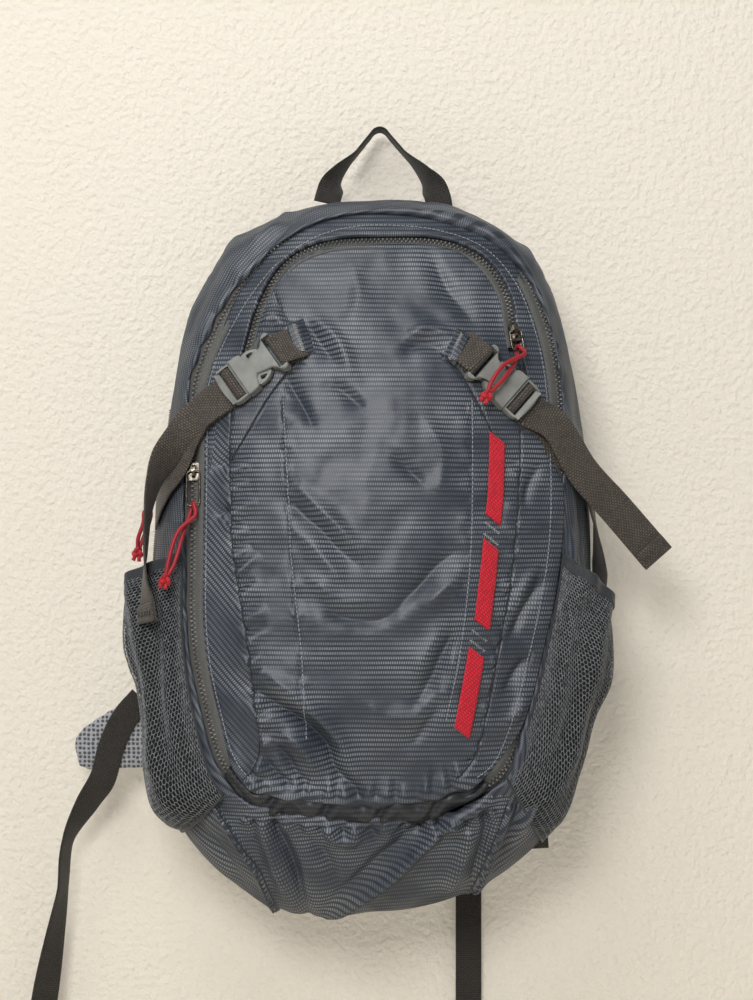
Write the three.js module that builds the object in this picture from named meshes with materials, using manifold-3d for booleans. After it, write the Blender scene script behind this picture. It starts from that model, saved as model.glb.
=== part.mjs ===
// Hydration daypack with its water reservoir, hanging by its haul loop.
// Millimetres, +Z up. The front faces -Y, the wearer's side faces +Y, and +X is to the right
// for someone who looks at the front. The origin is the inner top of the haul loop, where a
// hook carries the pack.

import * as THREE from "three";
import { mergeVertices } from "three/addons/utils/BufferGeometryUtils.js";
import Module from "manifold-3d";

const wasm = await Module();
wasm.setup();

// ---------------------------------------------------------------- driving dimensions

const AROUND = 60; // stations round the bag's outline
const CENTRE = { x: -3, z: -300 }; // middle of the bag, seen from the front
const BACK_Y = -22; // plane of the back panel
const CLOTH = 3; // lined and padded pack cloth
const PANEL = 2.5; // front panels
const GAP = 0.35; // running and sewing gap between neighbours

const RIM_DEPTH = 54; // bag depth at the top of the main zip
const RIM_TOP_Z = -76;
const RIM_SLOPE = 0.1; // the bag deepens by this much per millimetre downwards
const SIDE_POWER = 2.2; // roundness of the side gusset
const FRONT_BULGE = 34; // how far the front stands out past the main zip
const BULGE_POWER = 0.8;

const ZIP_HALF = 6; // half width of the main zip's gap
const FRONT_ZIP_HALF = 4;
const COIL_HALF = 3;
const COIL_TOP = 1.6;

const WEB = 25; // compression webbing
const BELT = 20; // shoulder, sternum and hip webbing
const WEB_THICK = 1.5;
const BELT_THICK = 1.2;
const SMALL = BELT / WEB; // size of the 20 mm hardware against the 25 mm hardware
const CORD_R = 1.5;
const WIRE_R = 0.9;

const RESERVOIR = { width: 176, height: 330, thick: 23, top: -112 };
const CAP_R = 44;

// ---------------------------------------------------------------- colours and finishes

const finish = (color, roughness, metalness = 0) => ({ color, roughness, metalness });
const CLOTH_BLUE = finish(0x465061, 0.6);
const MESH_BLACK = finish(0x26282b, 0.85);
const SPACER_GREY = finish(0x6d7178, 0.9);
const WEB_BROWN = finish(0x4a443c, 0.75);
const PLASTIC_GREY = finish(0x8b8a84, 0.45);
const ZIP_BROWN = finish(0x5a5650, 0.7);
const NICKEL = finish(0x6e6a64, 0.3, 1);
const CORD_RED = finish(0xc4122a, 0.6);
const FILM_BLUE = finish(0x9fc4dc, 0.25);
const CAP_BLUE = finish(0x2f6fae, 0.4);
const FOAM_BLACK = finish(0x2b2d31, 0.9);

const pack = new THREE.Group();

// ---------------------------------------------------------------- building tools

const V = (x, y, z) => new THREE.Vector3(x, y, z);
const mix = (a, b, t) => a + (b - a) * t;

/** Adds one named piece to a parent group. */
function add(name, geometry, { color, roughness, metalness }, parent = pack) {
  const material = new THREE.MeshStandardMaterial({ color, roughness, metalness });
  const mesh = new THREE.Mesh(geometry, material);
  mesh.name = name;
  parent.add(mesh);
  return mesh;
}

/** Makes a geometry from points and triangles and turns its faces outward. */
function body(points, triangles) {
  let volume = 0;
  for (const [i, j, k] of triangles) {
    volume += points[i].dot(V(0, 0, 0).crossVectors(points[j], points[k]));
  }
  const outward = volume > 0 ? triangles : triangles.map(([i, j, k]) => [i, k, j]);
  const geometry = new THREE.BufferGeometry().setFromPoints(points);
  geometry.setIndex(outward.flat());
  return geometry;
}

/** Joins rings of points into one closed body, with end caps unless the rings meet. */
function loft(rings, meets = false) {
  const size = rings[0].length;
  const points = rings.flat();
  const triangles = [];
  const spans = meets ? rings.length : rings.length - 1;
  for (let r = 0; r < spans; r += 1) {
    const next = (r + 1) % rings.length;
    for (let s = 0; s < size; s += 1) {
      const t = (s + 1) % size;
      triangles.push([r * size + s, r * size + t, next * size + t]);
      triangles.push([r * size + s, next * size + t, next * size + s]);
    }
  }
  if (!meets) {
    for (const [r, flip] of [[0, true], [rings.length - 1, false]]) {
      const middle = points.length;
      const sum = rings[r].reduce((total, p) => total.add(p), V(0, 0, 0));
      points.push(sum.divideScalar(size));
      for (let s = 0; s < size; s += 1) {
        const t = (s + 1) % size;
        const edge = flip ? [t, s] : [s, t];
        triangles.push([middle, r * size + edge[0], r * size + edge[1]]);
      }
    }
  }
  return body(points, triangles);
}

/** Closed body from profiles that all start at one pole and end at the other. */
function spun(profiles) {
  const inner = profiles[0].length - 2;
  const points = profiles.flatMap((profile) => profile.slice(1, -1));
  const first = points.push(profiles[0][0]) - 1;
  const last = points.push(profiles[0].at(-1)) - 1;
  const triangles = [];
  for (let i = 0; i < profiles.length; i += 1) {
    const a = i * inner;
    const b = ((i + 1) % profiles.length) * inner;
    triangles.push([first, a, b]);
    triangles.push([last, b + inner - 1, a + inner - 1]);
    for (let k = 0; k < inner - 1; k += 1) {
      triangles.push([a + k, a + k + 1, b + k + 1]);
      triangles.push([a + k, b + k + 1, b + k]);
    }
  }
  return body(points, triangles);
}

/** Closed sheet between two grids of points, an outer and an inner one. */
function sheet(outer, inner) {
  const rows = outer.length;
  const columns = outer[0].length;
  const points = [...outer.flat(), ...inner.flat()];
  const at = (side, r, c) => side * rows * columns + r * columns + c;
  const triangles = [];
  const quad = (a, b, c, d) => triangles.push([a, b, c], [a, c, d]);
  for (let r = 0; r < rows - 1; r += 1) {
    for (let c = 0; c < columns - 1; c += 1) {
      quad(at(0, r, c), at(0, r, c + 1), at(0, r + 1, c + 1), at(0, r + 1, c));
      quad(at(1, r, c), at(1, r + 1, c), at(1, r + 1, c + 1), at(1, r, c + 1));
    }
  }
  for (let r = 0; r < rows - 1; r += 1) {
    quad(at(0, r, 0), at(0, r + 1, 0), at(1, r + 1, 0), at(1, r, 0));
    quad(at(0, r, columns - 1), at(1, r, columns - 1), at(1, r + 1, columns - 1),
      at(0, r + 1, columns - 1));
  }
  for (let c = 0; c < columns - 1; c += 1) {
    quad(at(0, 0, c), at(1, 0, c), at(1, 0, c + 1), at(0, 0, c + 1));
    quad(at(0, rows - 1, c), at(0, rows - 1, c + 1), at(1, rows - 1, c + 1), at(1, rows - 1, c));
  }
  return body(points, triangles);
}

/** Sweeps a section along stations of {p: centre, w: width direction}. */
function sweep(stations, section, meets = false) {
  const count = stations.length;
  const rings = stations.map(({ p, w, scale = 1 }, i) => {
    const before = stations[meets ? (i + count - 1) % count : Math.max(i - 1, 0)].p;
    const after = stations[meets ? (i + 1) % count : Math.min(i + 1, count - 1)].p;
    const along = V(0, 0, 0).subVectors(after, before).normalize();
    const across = w.clone().addScaledVector(along, -w.dot(along)).normalize();
    const out = V(0, 0, 0).crossVectors(along, across);
    return section.map(([s, t]) => p.clone()
      .addScaledVector(across, s * scale)
      .addScaledVector(out, t));
  });
  return loft(rings, meets);
}

/** Smooth stations through a few hand-set ones, about one per step of the length. */
function smooth(marks, step) {
  const curve = new THREE.CatmullRomCurve3(marks.map((mark) => mark.p), false, "centripetal");
  const count = Math.max(2, Math.round(curve.getLength() / step));
  const stations = [];
  for (let i = 0; i <= count; i += 1) {
    const t = curve.getUtoTmapping(i / count);
    const place = t * (marks.length - 1);
    const from = Math.min(Math.floor(place), marks.length - 2);
    const w = marks[from].w.clone().lerp(marks[from + 1].w, place - from).normalize();
    stations.push({ p: curve.getPoint(t), w });
  }
  return stations;
}

/** Flat webbing along stations. */
function ribbon(stations, width, thick = WEB_THICK) {
  const s = width / 2;
  const t = thick / 2;
  return sweep(stations, [[-s, -t], [s, -t], [s, t], [-s, t]]);
}

/** Regular section of a round wire or cord. */
function round(radius, sides) {
  return Array.from({ length: sides }, (_, i) => {
    const angle = (i / sides) * 2 * Math.PI;
    return [radius * Math.cos(angle), radius * Math.sin(angle)];
  });
}

/** Turns a closed geometry into a solid that can be cut and joined. */
function solid(geometry) {
  const bare = geometry.clone();
  bare.deleteAttribute("normal");
  bare.deleteAttribute("uv");
  const merged = mergeVertices(bare, 1e-4);
  return new wasm.Manifold(new wasm.Mesh({
    numProp: 3,
    vertProperties: merged.attributes.position.array,
    triVerts: Uint32Array.from(merged.index.array),
  }));
}

/** Turns a solid back into a geometry. */
function shown(cutSolid) {
  const mesh = cutSolid.getMesh();
  const geometry = new THREE.BufferGeometry();
  geometry.setAttribute("position", new THREE.BufferAttribute(mesh.vertProperties, 3));
  geometry.setIndex(new THREE.BufferAttribute(mesh.triVerts, 1));
  return geometry;
}

/** Flat shape pulled up to a thickness, centred on its own plane. */
function slab(shape, thick, bevel = 0, curveSegments = 4) {
  const geometry = new THREE.ExtrudeGeometry(shape, {
    depth: thick - 2 * bevel,
    curveSegments,
    bevelEnabled: bevel > 0,
    bevelThickness: bevel,
    bevelSize: bevel,
    bevelOffset: -bevel,
    bevelSegments: 1,
  });
  return geometry.translate(0, 0, bevel - thick / 2);
}

/** Box from its low and high corners. */
function block(low, high) {
  const size = high.map((value, i) => value - low[i]);
  const geometry = new THREE.BoxGeometry(...size);
  return geometry.translate(...low.map((value, i) => value + size[i] / 2));
}

/** Shape that is alike on both sides of the x axis, from its upper half. */
function mirrored(upper, divisions = 3) {
  const half = upper.getPoints(divisions);
  const back = half.slice().reverse().filter((p) => Math.abs(p.y) > 1e-6);
  return new THREE.Shape([...half, ...back.map((p) => new THREE.Vector2(p.x, -p.y))]);
}

/** Group at a place, with its x axis along one direction and its z axis out along another. */
function placed(origin, along, out) {
  const x = along.clone().normalize();
  const z = out.clone().addScaledVector(x, -out.dot(x)).normalize();
  const y = V(0, 0, 0).crossVectors(z, x);
  const group = new THREE.Group();
  group.position.copy(origin);
  group.quaternion.setFromRotationMatrix(new THREE.Matrix4().makeBasis(x, y, z));
  group.updateMatrix();
  pack.add(group);
  return group;
}

/** A group's own point, in the pack's frame. */
const from = (group, x, y, z) => V(x, y, z).applyMatrix4(group.matrix);

/** A group's own direction, in the pack's frame. */
const turned = (group, x, y, z) => V(x, y, z).applyQuaternion(group.quaternion);

// ---------------------------------------------------------------- outlines of the bag

// Edge of the back panel, from the top and to the right, as x, z.
const BODY_OUTLINE = [
  [0, -61], [45, -66], [84, -78], [119, -104], [135, -143], [146, -188], [151, -235],
  [156, -290], [157, -345], [155, -390], [149, -437], [139, -488], [121, -535], [88, -561],
  [40, -581], [-7, -586], [-71, -588], [-104, -570], [-144, -533], [-161, -484], [-168, -432],
  [-171, -373], [-168, -314], [-162, -262], [-156, -217], [-147, -165], [-138, -126],
  [-118, -91], [-86, -74], [-45, -64],
];

// Main zip, from the top and to the right. Its left side runs straight for the slider.
const ZIP_STRAIGHT_X = -133;
const MAIN_ZIP = [
  [0, -76], [44, -80], [80, -94], [105, -121], [119, -154], [127, -190], [130, -232],
  [131, -290], [127, -335], [117, -385], [104, -435], [84, -478], [42, -497], [-7, -503],
  [-56, -499], [-90, -492], [-110, -470], [-122, -432], [-130, -395],
  [ZIP_STRAIGHT_X, -360], [ZIP_STRAIGHT_X, -335], [ZIP_STRAIGHT_X, -280],
  [ZIP_STRAIGHT_X, -230], [ZIP_STRAIGHT_X, -205],
  [-126, -180], [-113, -152], [-96, -125], [-76, -103], [-51, -86], [-25, -78],
];

// Front pocket's edge: its zip from the right end over the top to the left end, then its seams.
const FRONT_LEG = { top: [91.5, -140], end: [97, -176] };
const POCKET_LEFT_END = [-96, -183];
const POCKET_EDGE = [
  [0, -97], [50, -100], [77, -115], FRONT_LEG.top, [94.25, -158], FRONT_LEG.end,
  [105, -215], [113, -270], [112, -325], [104, -385], [91, -437], [72, -470], [40, -486],
  [-7, -491], [-56, -487], [-84, -474], [-102, -440], [-113, -390], [-119, -330],
  [-118, -270], [-108, -220], POCKET_LEFT_END, [-84, -142], [-67, -114], [-43, -101],
];

/** Many points round a smooth closed outline. */
function smoothLoop(outline, count = 720) {
  const marks = outline.map(([x, z]) => V(x, 0, z));
  return new THREE.CatmullRomCurve3(marks, true, "centripetal").getSpacedPoints(count).slice(1);
}

/** The same outline, moved outward by a distance in its own plane. */
function offset(points, distance) {
  return points.map((p, i) => {
    const before = points.at(i - 1);
    const after = points[(i + 1) % points.length];
    const along = V(0, 0, 0).subVectors(after, before).normalize();
    return p.clone().add(V(-along.z * distance, 0, along.x * distance));
  });
}

/** Distance from the bag's centre to an outline, as a function of the angle from +X. */
function reach(points) {
  const table = points.map((p) => {
    const dx = p.x - CENTRE.x;
    const dz = p.z - CENTRE.z;
    return { angle: Math.atan2(dz, dx), radius: Math.hypot(dx, dz) };
  });
  table.sort((a, b) => a.angle - b.angle);
  table.unshift({ ...table.at(-1), angle: table.at(-1).angle - 2 * Math.PI });
  table.push({ ...table[1], angle: table[1].angle + 2 * Math.PI });
  return (angle) => {
    const turn = Math.atan2(Math.sin(angle), Math.cos(angle));
    const k = table.findIndex((entry) => entry.angle > turn);
    const [a, b] = [table[k - 1], table[k]];
    return mix(a.radius, b.radius, (turn - a.angle) / (b.angle - a.angle));
  };
}

const zipLoop = smoothLoop(MAIN_ZIP);
const pocketLoop = smoothLoop(POCKET_EDGE);
const bodyReach = reach(smoothLoop(BODY_OUTLINE));
const zipReach = reach(zipLoop);
const pocketReach = reach(pocketLoop);

/** Angle of a point round the bag's centre. */
const angleOf = (x, z) => Math.atan2(z - CENTRE.z, x - CENTRE.x);

/** Depth of the bag in front of the back plane at the main zip's height. */
const rimDepth = (z) => RIM_DEPTH + RIM_SLOPE * (RIM_TOP_Z - z);

/** Depth of the bag's outer surface at an angle and a distance from the centre. */
function depthAt(angle, radius) {
  const z = CENTRE.z + radius * Math.sin(angle);
  const zip = zipReach(angle);
  if (radius <= zip) {
    return rimDepth(z) + FRONT_BULGE * (1 - (radius / zip) ** 2) ** BULGE_POWER;
  }
  const v = Math.min(1, (radius - zip) / (bodyReach(angle) - zip));
  const zipZ = CENTRE.z + zip * Math.sin(angle);
  return rimDepth(zipZ) * (1 - v ** SIDE_POWER) ** (1 / SIDE_POWER);
}

/** Point at an angle, distance and depth. */
const polar = (angle, radius, depth) => V(
  CENTRE.x + radius * Math.cos(angle),
  BACK_Y - depth,
  CENTRE.z + radius * Math.sin(angle),
);

/** Point on the front of the bag, lifted off it towards the viewer. */
function onFront(x, z, lift) {
  const radius = Math.hypot(x - CENTRE.x, z - CENTRE.z);
  return V(x, BACK_Y - depthAt(angleOf(x, z), radius) - lift, z);
}

/** Direction straight out of the bag's front at a point. */
function outOfFront(x, z) {
  const e = 4;
  const dx = (onFront(x + e, z, 0).y - onFront(x - e, z, 0).y) / (2 * e);
  const dz = (onFront(x, z + e, 0).y - onFront(x, z - e, 0).y) / (2 * e);
  return V(dx, -1, dz).normalize();
}

/** Point on the side gusset: v runs from 0 at the main zip to 1 at the back panel. */
function onSide(angle, v) {
  const zip = zipReach(angle);
  const depth = rimDepth(CENTRE.z + zip * Math.sin(angle));
  const share = (1 - v ** SIDE_POWER) ** (1 / SIDE_POWER);
  return polar(angle, mix(zip, bodyReach(angle), v), depth * share);
}

/** Point lifted off the side gusset along its own normal. */
function offSide(angle, v, lift) {
  const e = 0.02;
  const across = V(0, 0, 0).subVectors(onSide(angle, Math.min(v + e, 1)), onSide(angle, v - e));
  const along = V(0, 0, 0).subVectors(onSide(angle + e, v), onSide(angle - e, v));
  const out = V(0, 0, 0).crossVectors(across, along).normalize();
  const centreSide = V(Math.cos(angle), 0, Math.sin(angle));
  if (out.dot(centreSide) < 0) {
    out.negate();
  }
  return onSide(angle, v).addScaledVector(out, lift);
}

const angles = Array.from({ length: AROUND }, (_, i) => (i / AROUND) * 2 * Math.PI - Math.PI);

// ---------------------------------------------------------------- bag

/** Rear body: the tub of back panel and side gusset, open towards the front. */
function rearBody() {
  const rim = reach(offset(zipLoop, ZIP_HALF));
  const outerSteps = [1, 0.97, 0.88, 0.74, 0.56, 0.36];
  const innerSteps = [0.3, 0.56, 0.8, 0.94, 1];
  const profiles = angles.map((angle) => {
    const zip = zipReach(angle);
    const edge = bodyReach(angle);
    const depth = rimDepth(CENTRE.z + zip * Math.sin(angle));
    const rimV = (rim(angle) - zip) / (edge - zip);
    const share = (v) => (1 - v ** SIDE_POWER) ** (1 / SIDE_POWER);
    const outer = [...outerSteps.filter((v) => v > rimV + 0.08), rimV];
    while (outer.length < outerSteps.length + 1) {
      outer.splice(-1, 0, mix(outer.at(-2), outer.at(-1), 0.5));
    }
    const innerEdge = edge - CLOTH;
    const innerRimV = (rim(angle) - zip) / (innerEdge - zip);
    const inner = innerSteps.map((v) => mix(innerRimV, 1, (v - 0.3) / 0.7));
    return [
      polar(angle, 0, 0),
      ...outer.map((v) => polar(angle, mix(zip, edge, v), depth * share(v))),
      ...inner.map((v) => polar(
        angle, mix(zip, innerEdge, v), CLOTH + (depth - 2 * CLOTH) * share(v),
      )),
      polar(angle, 0, CLOTH),
    ];
  });
  const tub = solid(spun(profiles));
  const slot = solid(block([-17, BACK_Y - CLOTH - 2, -96], [17, BACK_Y + 2, -89]));
  return shown(tub.subtract(slot));
}

/** True where the front pocket's edge is its zip and not a seam. */
const hasFrontZip = (angle) => angle > angleOf(...FRONT_LEG.end)
  && angle < angleOf(...POCKET_LEFT_END);

/** Front panel: a shallow wall behind the front pocket, with a step for the pocket's edge. */
function frontPanel() {
  const rim = reach(offset(zipLoop, -ZIP_HALF));
  const shelf = reach(offset(pocketLoop, FRONT_ZIP_HALF));
  const middleDepth = rimDepth(CENTRE.z) + FRONT_BULGE - 22;
  const stepDown = 3.4;
  const profiles = angles.map((angle) => {
    const edge = rim(angle);
    const step = Math.min(shelf(angle), edge - 2.5);
    const low = depthAt(angle, step) - stepDown;
    const dish = (k) => mix(middleDepth, low, k * k);
    return [
      polar(angle, 0, middleDepth),
      polar(angle, step * 0.5, dish(0.5)),
      polar(angle, step * 0.85, dish(0.85)),
      polar(angle, step, low),
      polar(angle, step + 0.2, low + stepDown),
      polar(angle, edge, depthAt(angle, edge)),
      polar(angle, edge, depthAt(angle, edge) - PANEL),
      polar(angle, step + 0.2, low - PANEL),
      polar(angle, step * 0.5, dish(0.5) - PANEL),
      polar(angle, 0, middleDepth - PANEL),
    ];
  });
  return spun(profiles);
}

/** Front pocket's outer wall, crowned, with its zip gap over the top. */
function frontPocketPanel() {
  const zipEdge = reach(offset(pocketLoop, -FRONT_ZIP_HALF));
  const seamEdge = reach(offset(pocketLoop, FRONT_ZIP_HALF - 2 * GAP));
  const shelf = reach(offset(pocketLoop, FRONT_ZIP_HALF));
  const shares = [0.3, 0.55, 0.75, 0.9, 1];
  const profiles = angles.map((angle) => {
    const limit = Math.min(shelf(angle), reach(offset(zipLoop, -ZIP_HALF))(angle) - 2.5) - 2 * GAP;
    const edge = hasFrontZip(angle) ? zipEdge(angle) : Math.min(seamEdge(angle), limit);
    return [
      polar(angle, 0, depthAt(angle, 0)),
      ...shares.map((k) => polar(angle, edge * k, depthAt(angle, edge * k))),
      ...shares.slice().reverse().map((k) => polar(
        angle, edge * k, depthAt(angle, edge * k) - PANEL,
      )),
      polar(angle, 0, depthAt(angle, 0) - PANEL),
    ];
  });
  return spun(profiles);
}

/** Section of a zip: the tape with its coil standing on it, as offset and height. */
const zipSection = (half, size) => [
  [-half, -1.4], [half, -1.4], [half, -0.5], [COIL_HALF * size, -0.5],
  [COIL_HALF * 0.7 * size, COIL_TOP * size], [-COIL_HALF * 0.7 * size, COIL_TOP * size],
  [-COIL_HALF * size, -0.5], [-half, -0.5],
];

/** Zip along the main opening, one closed loop. */
function mainZip() {
  const section = zipSection(ZIP_HALF - GAP, 1);
  const reaches = section.map(([side]) => reach(offset(zipLoop, side)));
  const rings = angles.map((angle) => {
    const depth = rimDepth(CENTRE.z + zipReach(angle) * Math.sin(angle));
    return section.map(([, high], k) => polar(angle, reaches[k](angle), depth + high));
  });
  return loft(rings, true);
}

/** Zip over the top of the front pocket. */
function frontZip() {
  const section = zipSection(FRONT_ZIP_HALF - GAP, SMALL);
  const reaches = section.map(([side]) => reach(offset(pocketLoop, side)));
  const rings = angles.filter(hasFrontZip).map((angle) => {
    const radius = pocketReach(angle);
    return section.map(([, high], k) => polar(
      angle, reaches[k](angle), depthAt(angle, radius) - 1 + high,
    ));
  });
  return loft(rings);
}

/** Side pocket of stretch mesh: tight at the sides and bottom, gaping at its mouth. */
function meshPocket({ mouth, bottom, front, back, gape }) {
  const rows = 10;
  const columns = 9;
  const grid = (lift) => Array.from({ length: rows }, (_, r) => {
    const t = r / (rows - 1);
    return Array.from({ length: columns }, (__, c) => {
      const s = c / (columns - 1);
      const angle = mix(mix(mouth[0], mouth[1], s), mix(bottom[0], bottom[1], s), t);
      const slack = gape * (1 - 1.35 * t + 1.15 * t * t) * (1 - t ** 6);
      const spread = Math.sin(Math.PI * s ** 1.7) ** 0.75;
      return offSide(angle, mix(front, back, s), POCKET_SEAT + slack * spread + lift);
    });
  });
  return sheet(grid(MESH_THICK), grid(0));
}

// Both side pockets: the angles of the mouth and the bottom, at the front and at the back.
const MESH_THICK = 1.4;
const POCKET_SEAT = 0.9;
const SIDE_POCKETS = {
  left: {
    mouth: [angleOf(-144, -330) + 2 * Math.PI, angleOf(-170, -352) + 2 * Math.PI],
    bottom: [angleOf(-115, -503) + 2 * Math.PI, angleOf(-148, -533) + 2 * Math.PI],
    front: 0.3,
    back: 0.96,
    gape: 21,
  },
  right: {
    mouth: [angleOf(140, -327), angleOf(155, -372)],
    bottom: [angleOf(88, -484), angleOf(121, -540)],
    front: 0.3,
    back: 0.96,
    gape: 19,
  },
};

/** Haul loop: flat where it is sewn in, turned edge-on where the hook carries it. */
function haulLoop() {
  const flat = V(1, 0, 0);
  const turning = V(0.5, 0.86, 0);
  const edgeOn = V(0, 1, 0);
  const top = WEB_THICK / 2;
  return ribbon(smooth([
    { p: V(-40, -26, -60), w: flat },
    { p: V(-38, -24, -52), w: flat },
    { p: V(-33, -19, -39), w: turning },
    { p: V(-20, -9, -22), w: edgeOn },
    { p: V(-8, -1, -5.5), w: edgeOn },
    { p: V(-4, 0, top - 1.4), w: edgeOn },
    { p: V(0, 0, top), w: edgeOn },
    { p: V(4, 0, top - 1.4), w: edgeOn },
    { p: V(8, -1, -5.5), w: edgeOn },
    { p: V(21, -9, -22), w: edgeOn },
    { p: V(35, -19, -39), w: V(0.5, -0.86, 0).negate() },
    { p: V(43, -24, -53), w: flat.clone().negate() },
    { p: V(45, -26, -62.2), w: flat.clone().negate() },
  ], 7), BELT);
}

// ---------------------------------------------------------------- side-release buckles

// A buckle for 25 mm webbing, along it from the sewn bar to the lip, and across.
const BUCKLE = {
  thick: 9,
  bar: [-2.3, 0.1],
  slotEnd: 4.4,
  mouth: 33,
  cavity: 4.8,
  armThick: 4.2,
  ladderBar: 38.2,
  ladderBarR: 1.7,
  webGap: 13.1,
  exit: 49,
};

/** Socket: flared at the sewn bar, waisted over the side windows, wide at the mouth. */
function buckleSocket(size) {
  const side = new THREE.Path();
  side.moveTo(BUCKLE.bar[0], 0);
  side.lineTo(BUCKLE.bar[0], 13);
  side.quadraticCurveTo(-1.6, 16.6, 1.6, 15.8);
  side.quadraticCurveTo(4.8, 14.6, 5.4, 12);
  side.quadraticCurveTo(7, 9, 11, 8.3);
  side.quadraticCurveTo(16, 7.4, 19.4, 5.8);
  side.quadraticCurveTo(21.8, 6.6, 22.6, 11.5);
  side.quadraticCurveTo(23, 14.6, 26, 14.9);
  side.lineTo(BUCKLE.mouth, 15.3);
  side.lineTo(BUCKLE.mouth, 0);
  const cavity = new THREE.Path();
  cavity.moveTo(8.5, 0);
  cavity.lineTo(8.5, 8);
  cavity.lineTo(9.6, 18);
  cavity.lineTo(22.4, 18);
  cavity.lineTo(22.4, 13.4);
  cavity.lineTo(BUCKLE.mouth + 1, 13.4);
  cavity.lineTo(BUCKLE.mouth + 1, 0);
  const [barLow, barHigh] = BUCKLE.bar;
  const half = BUCKLE.webGap;
  const shell = solid(slab(mirrored(side), BUCKLE.thick, 0.7))
    .subtract(solid(slab(mirrored(cavity), BUCKLE.cavity)))
    .subtract(solid(block([barHigh, -half, -6], [BUCKLE.slotEnd, half, 6])))
    .subtract(solid(block([barLow - 1, -half, 1.1], [barHigh + 0.1, half, 6])))
    .subtract(solid(block([barLow - 1, -half, -6], [barHigh + 0.1, half, -1.1])));
  return shown(shell).scale(size, size, size);
}

/** Plug: guide tongue, cross block, and a ladder frame with its bar and sloping lip. */
function bucklePlug(size) {
  const frame = new THREE.Path();
  frame.moveTo(33.5, 0);
  frame.lineTo(33.5, 14.7);
  frame.lineTo(41, 14.9);
  frame.quadraticCurveTo(46.2, 14.6, 47.2, 9.5);
  frame.quadraticCurveTo(47.9, 5, 48, 0);
  const half = BUCKLE.webGap;
  const lip = new THREE.Shape([[43, -0.4], [46.8, 1.2], [46.8, 3.2], [43.2, 1.1]]
    .map(([u, n]) => new THREE.Vector2(u, n)));
  const lipPlate = slab(lip, 2 * half + 0.4).rotateX(Math.PI / 2);
  const bar = new THREE.CylinderGeometry(
    BUCKLE.ladderBarR, BUCKLE.ladderBarR, 2 * half + 0.6, 8,
  ).translate(BUCKLE.ladderBar, 0, 0);
  const plug = solid(slab(mirrored(frame), 6.6, 0.6))
    .subtract(solid(block([34.4, -half, -5], [46.4, half, 5])))
    .subtract(solid(block([42, -half, -5], [49, half, -0.9])))
    .add(solid(lipPlate))
    .add(solid(bar))
    .add(solid(block([32.2, -half, -2], [34.45, half, 2])))
    .add(solid(block([13, -2.3, -1.7], [32.4, 2.3, 1.7])));
  return shown(plug).scale(size, size, size);
}

/** One sprung arm of the plug, with its thumb ear and the teardrop hole through it. */
function buckleArm(size, side) {
  const arm = new THREE.Shape();
  arm.moveTo(31.6, 6.7 * side);
  arm.lineTo(31.6, 9.8 * side);
  arm.lineTo(24.4, 11.6 * side);
  arm.lineTo(21.9, 13.6 * side);
  arm.quadraticCurveTo(15.5, 14.6 * side, 10.3, 9.9 * side);
  arm.lineTo(11.2, 8.7 * side);
  arm.quadraticCurveTo(17, 7.4 * side, 19.6, 5.7 * side);
  arm.lineTo(24.4, 6.7 * side);
  const hole = new THREE.Path();
  hole.moveTo(14, 10 * side);
  hole.quadraticCurveTo(17, 12.2 * side, 19.6, 11.2 * side);
  hole.quadraticCurveTo(20.6, 8.8 * side, 18.9, 8.1 * side);
  hole.quadraticCurveTo(16.4, 8.6 * side, 14, 10 * side);
  arm.holes.push(hole);
  return shown(solid(slab(arm, BUCKLE.armThick, 0, 3))).scale(size, size, size);
}

/** Webbing that comes to a socket, goes over its bar, round it and back. */
function barLoop(group, size, upper, lower, width, thick) {
  const bend = 1.65 * size + GAP + thick / 2;
  const barMiddle = (BUCKLE.bar[0] + BUCKLE.bar[1]) * size / 2;
  const w = turned(group, 0, 1, 0);
  const arc = [90, 45, 0, -45, -90].map((degrees) => {
    const turn = THREE.MathUtils.degToRad(degrees);
    return { p: from(group, barMiddle + bend * Math.cos(turn), 0, bend * Math.sin(turn)), w };
  });
  const ends = (points) => points.map((p) => ({ p, w }));
  return ribbon([...ends(upper), ...arc, ...ends(lower)], width, thick);
}

/**
 * Webbing through a ladder lock: in along the route, under the lip and the bar, over the bar,
 * and out again under the lip as the tail.
 */
function ladderWeb(group, { bar, barR, exit }, width, thick, inward, outward) {
  const bend = barR + GAP + thick / 2;
  const layer = thick + GAP + 0.25;
  const w = turned(group, 0, 1, 0);
  const at = (u, n) => ({ p: from(group, u, 0, n), w });
  const wrap = [
    at(bar + 0.6 * bend, -bend - layer), at(bar - 0.55 * bend, -bend - 0.5 * layer),
    at(bar - bend, 0), at(bar - 0.7 * bend, 0.7 * bend), at(bar, bend),
    at(bar + 0.7 * bend, 0.7 * bend), at(bar + bend, 0), at(bar + bend + 0.5, 0.55 - bend),
  ];
  return ribbon([
    ...smooth([...inward, at(exit, -bend - layer)], 13),
    ...wrap,
    ...smooth([at(exit, -bend), ...outward], 13),
  ], width, thick);
}

const ladderOf = (size) => ({
  bar: BUCKLE.ladderBar * size,
  barR: BUCKLE.ladderBarR * size,
  exit: BUCKLE.exit * size,
});

// ---------------------------------------------------------------- compression straps

const BUCKLE_LIFT = 7.8; // middle of the buckle above the front cloth
const mark = (p, w) => ({ p, w: V(...w).normalize() });

/** Mark that lies on the front cloth, its width square to a heading. */
function frontMark(x, z, lift, heading) {
  const out = outOfFront(x, z);
  const w = V(0, 0, 0).crossVectors(out, V(...heading)).normalize();
  return { p: onFront(x, z, 0).addScaledVector(out, lift), w };
}

/** Mark that lies on the side gusset, its width square to a heading. */
function sideMark(degrees, v, lift, heading) {
  const angle = THREE.MathUtils.degToRad(degrees);
  const p = offSide(angle, v, lift);
  const out = p.clone().sub(offSide(angle, v, 0));
  return { p, w: V(0, 0, 0).crossVectors(out, V(...heading)).normalize() };
}

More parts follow.
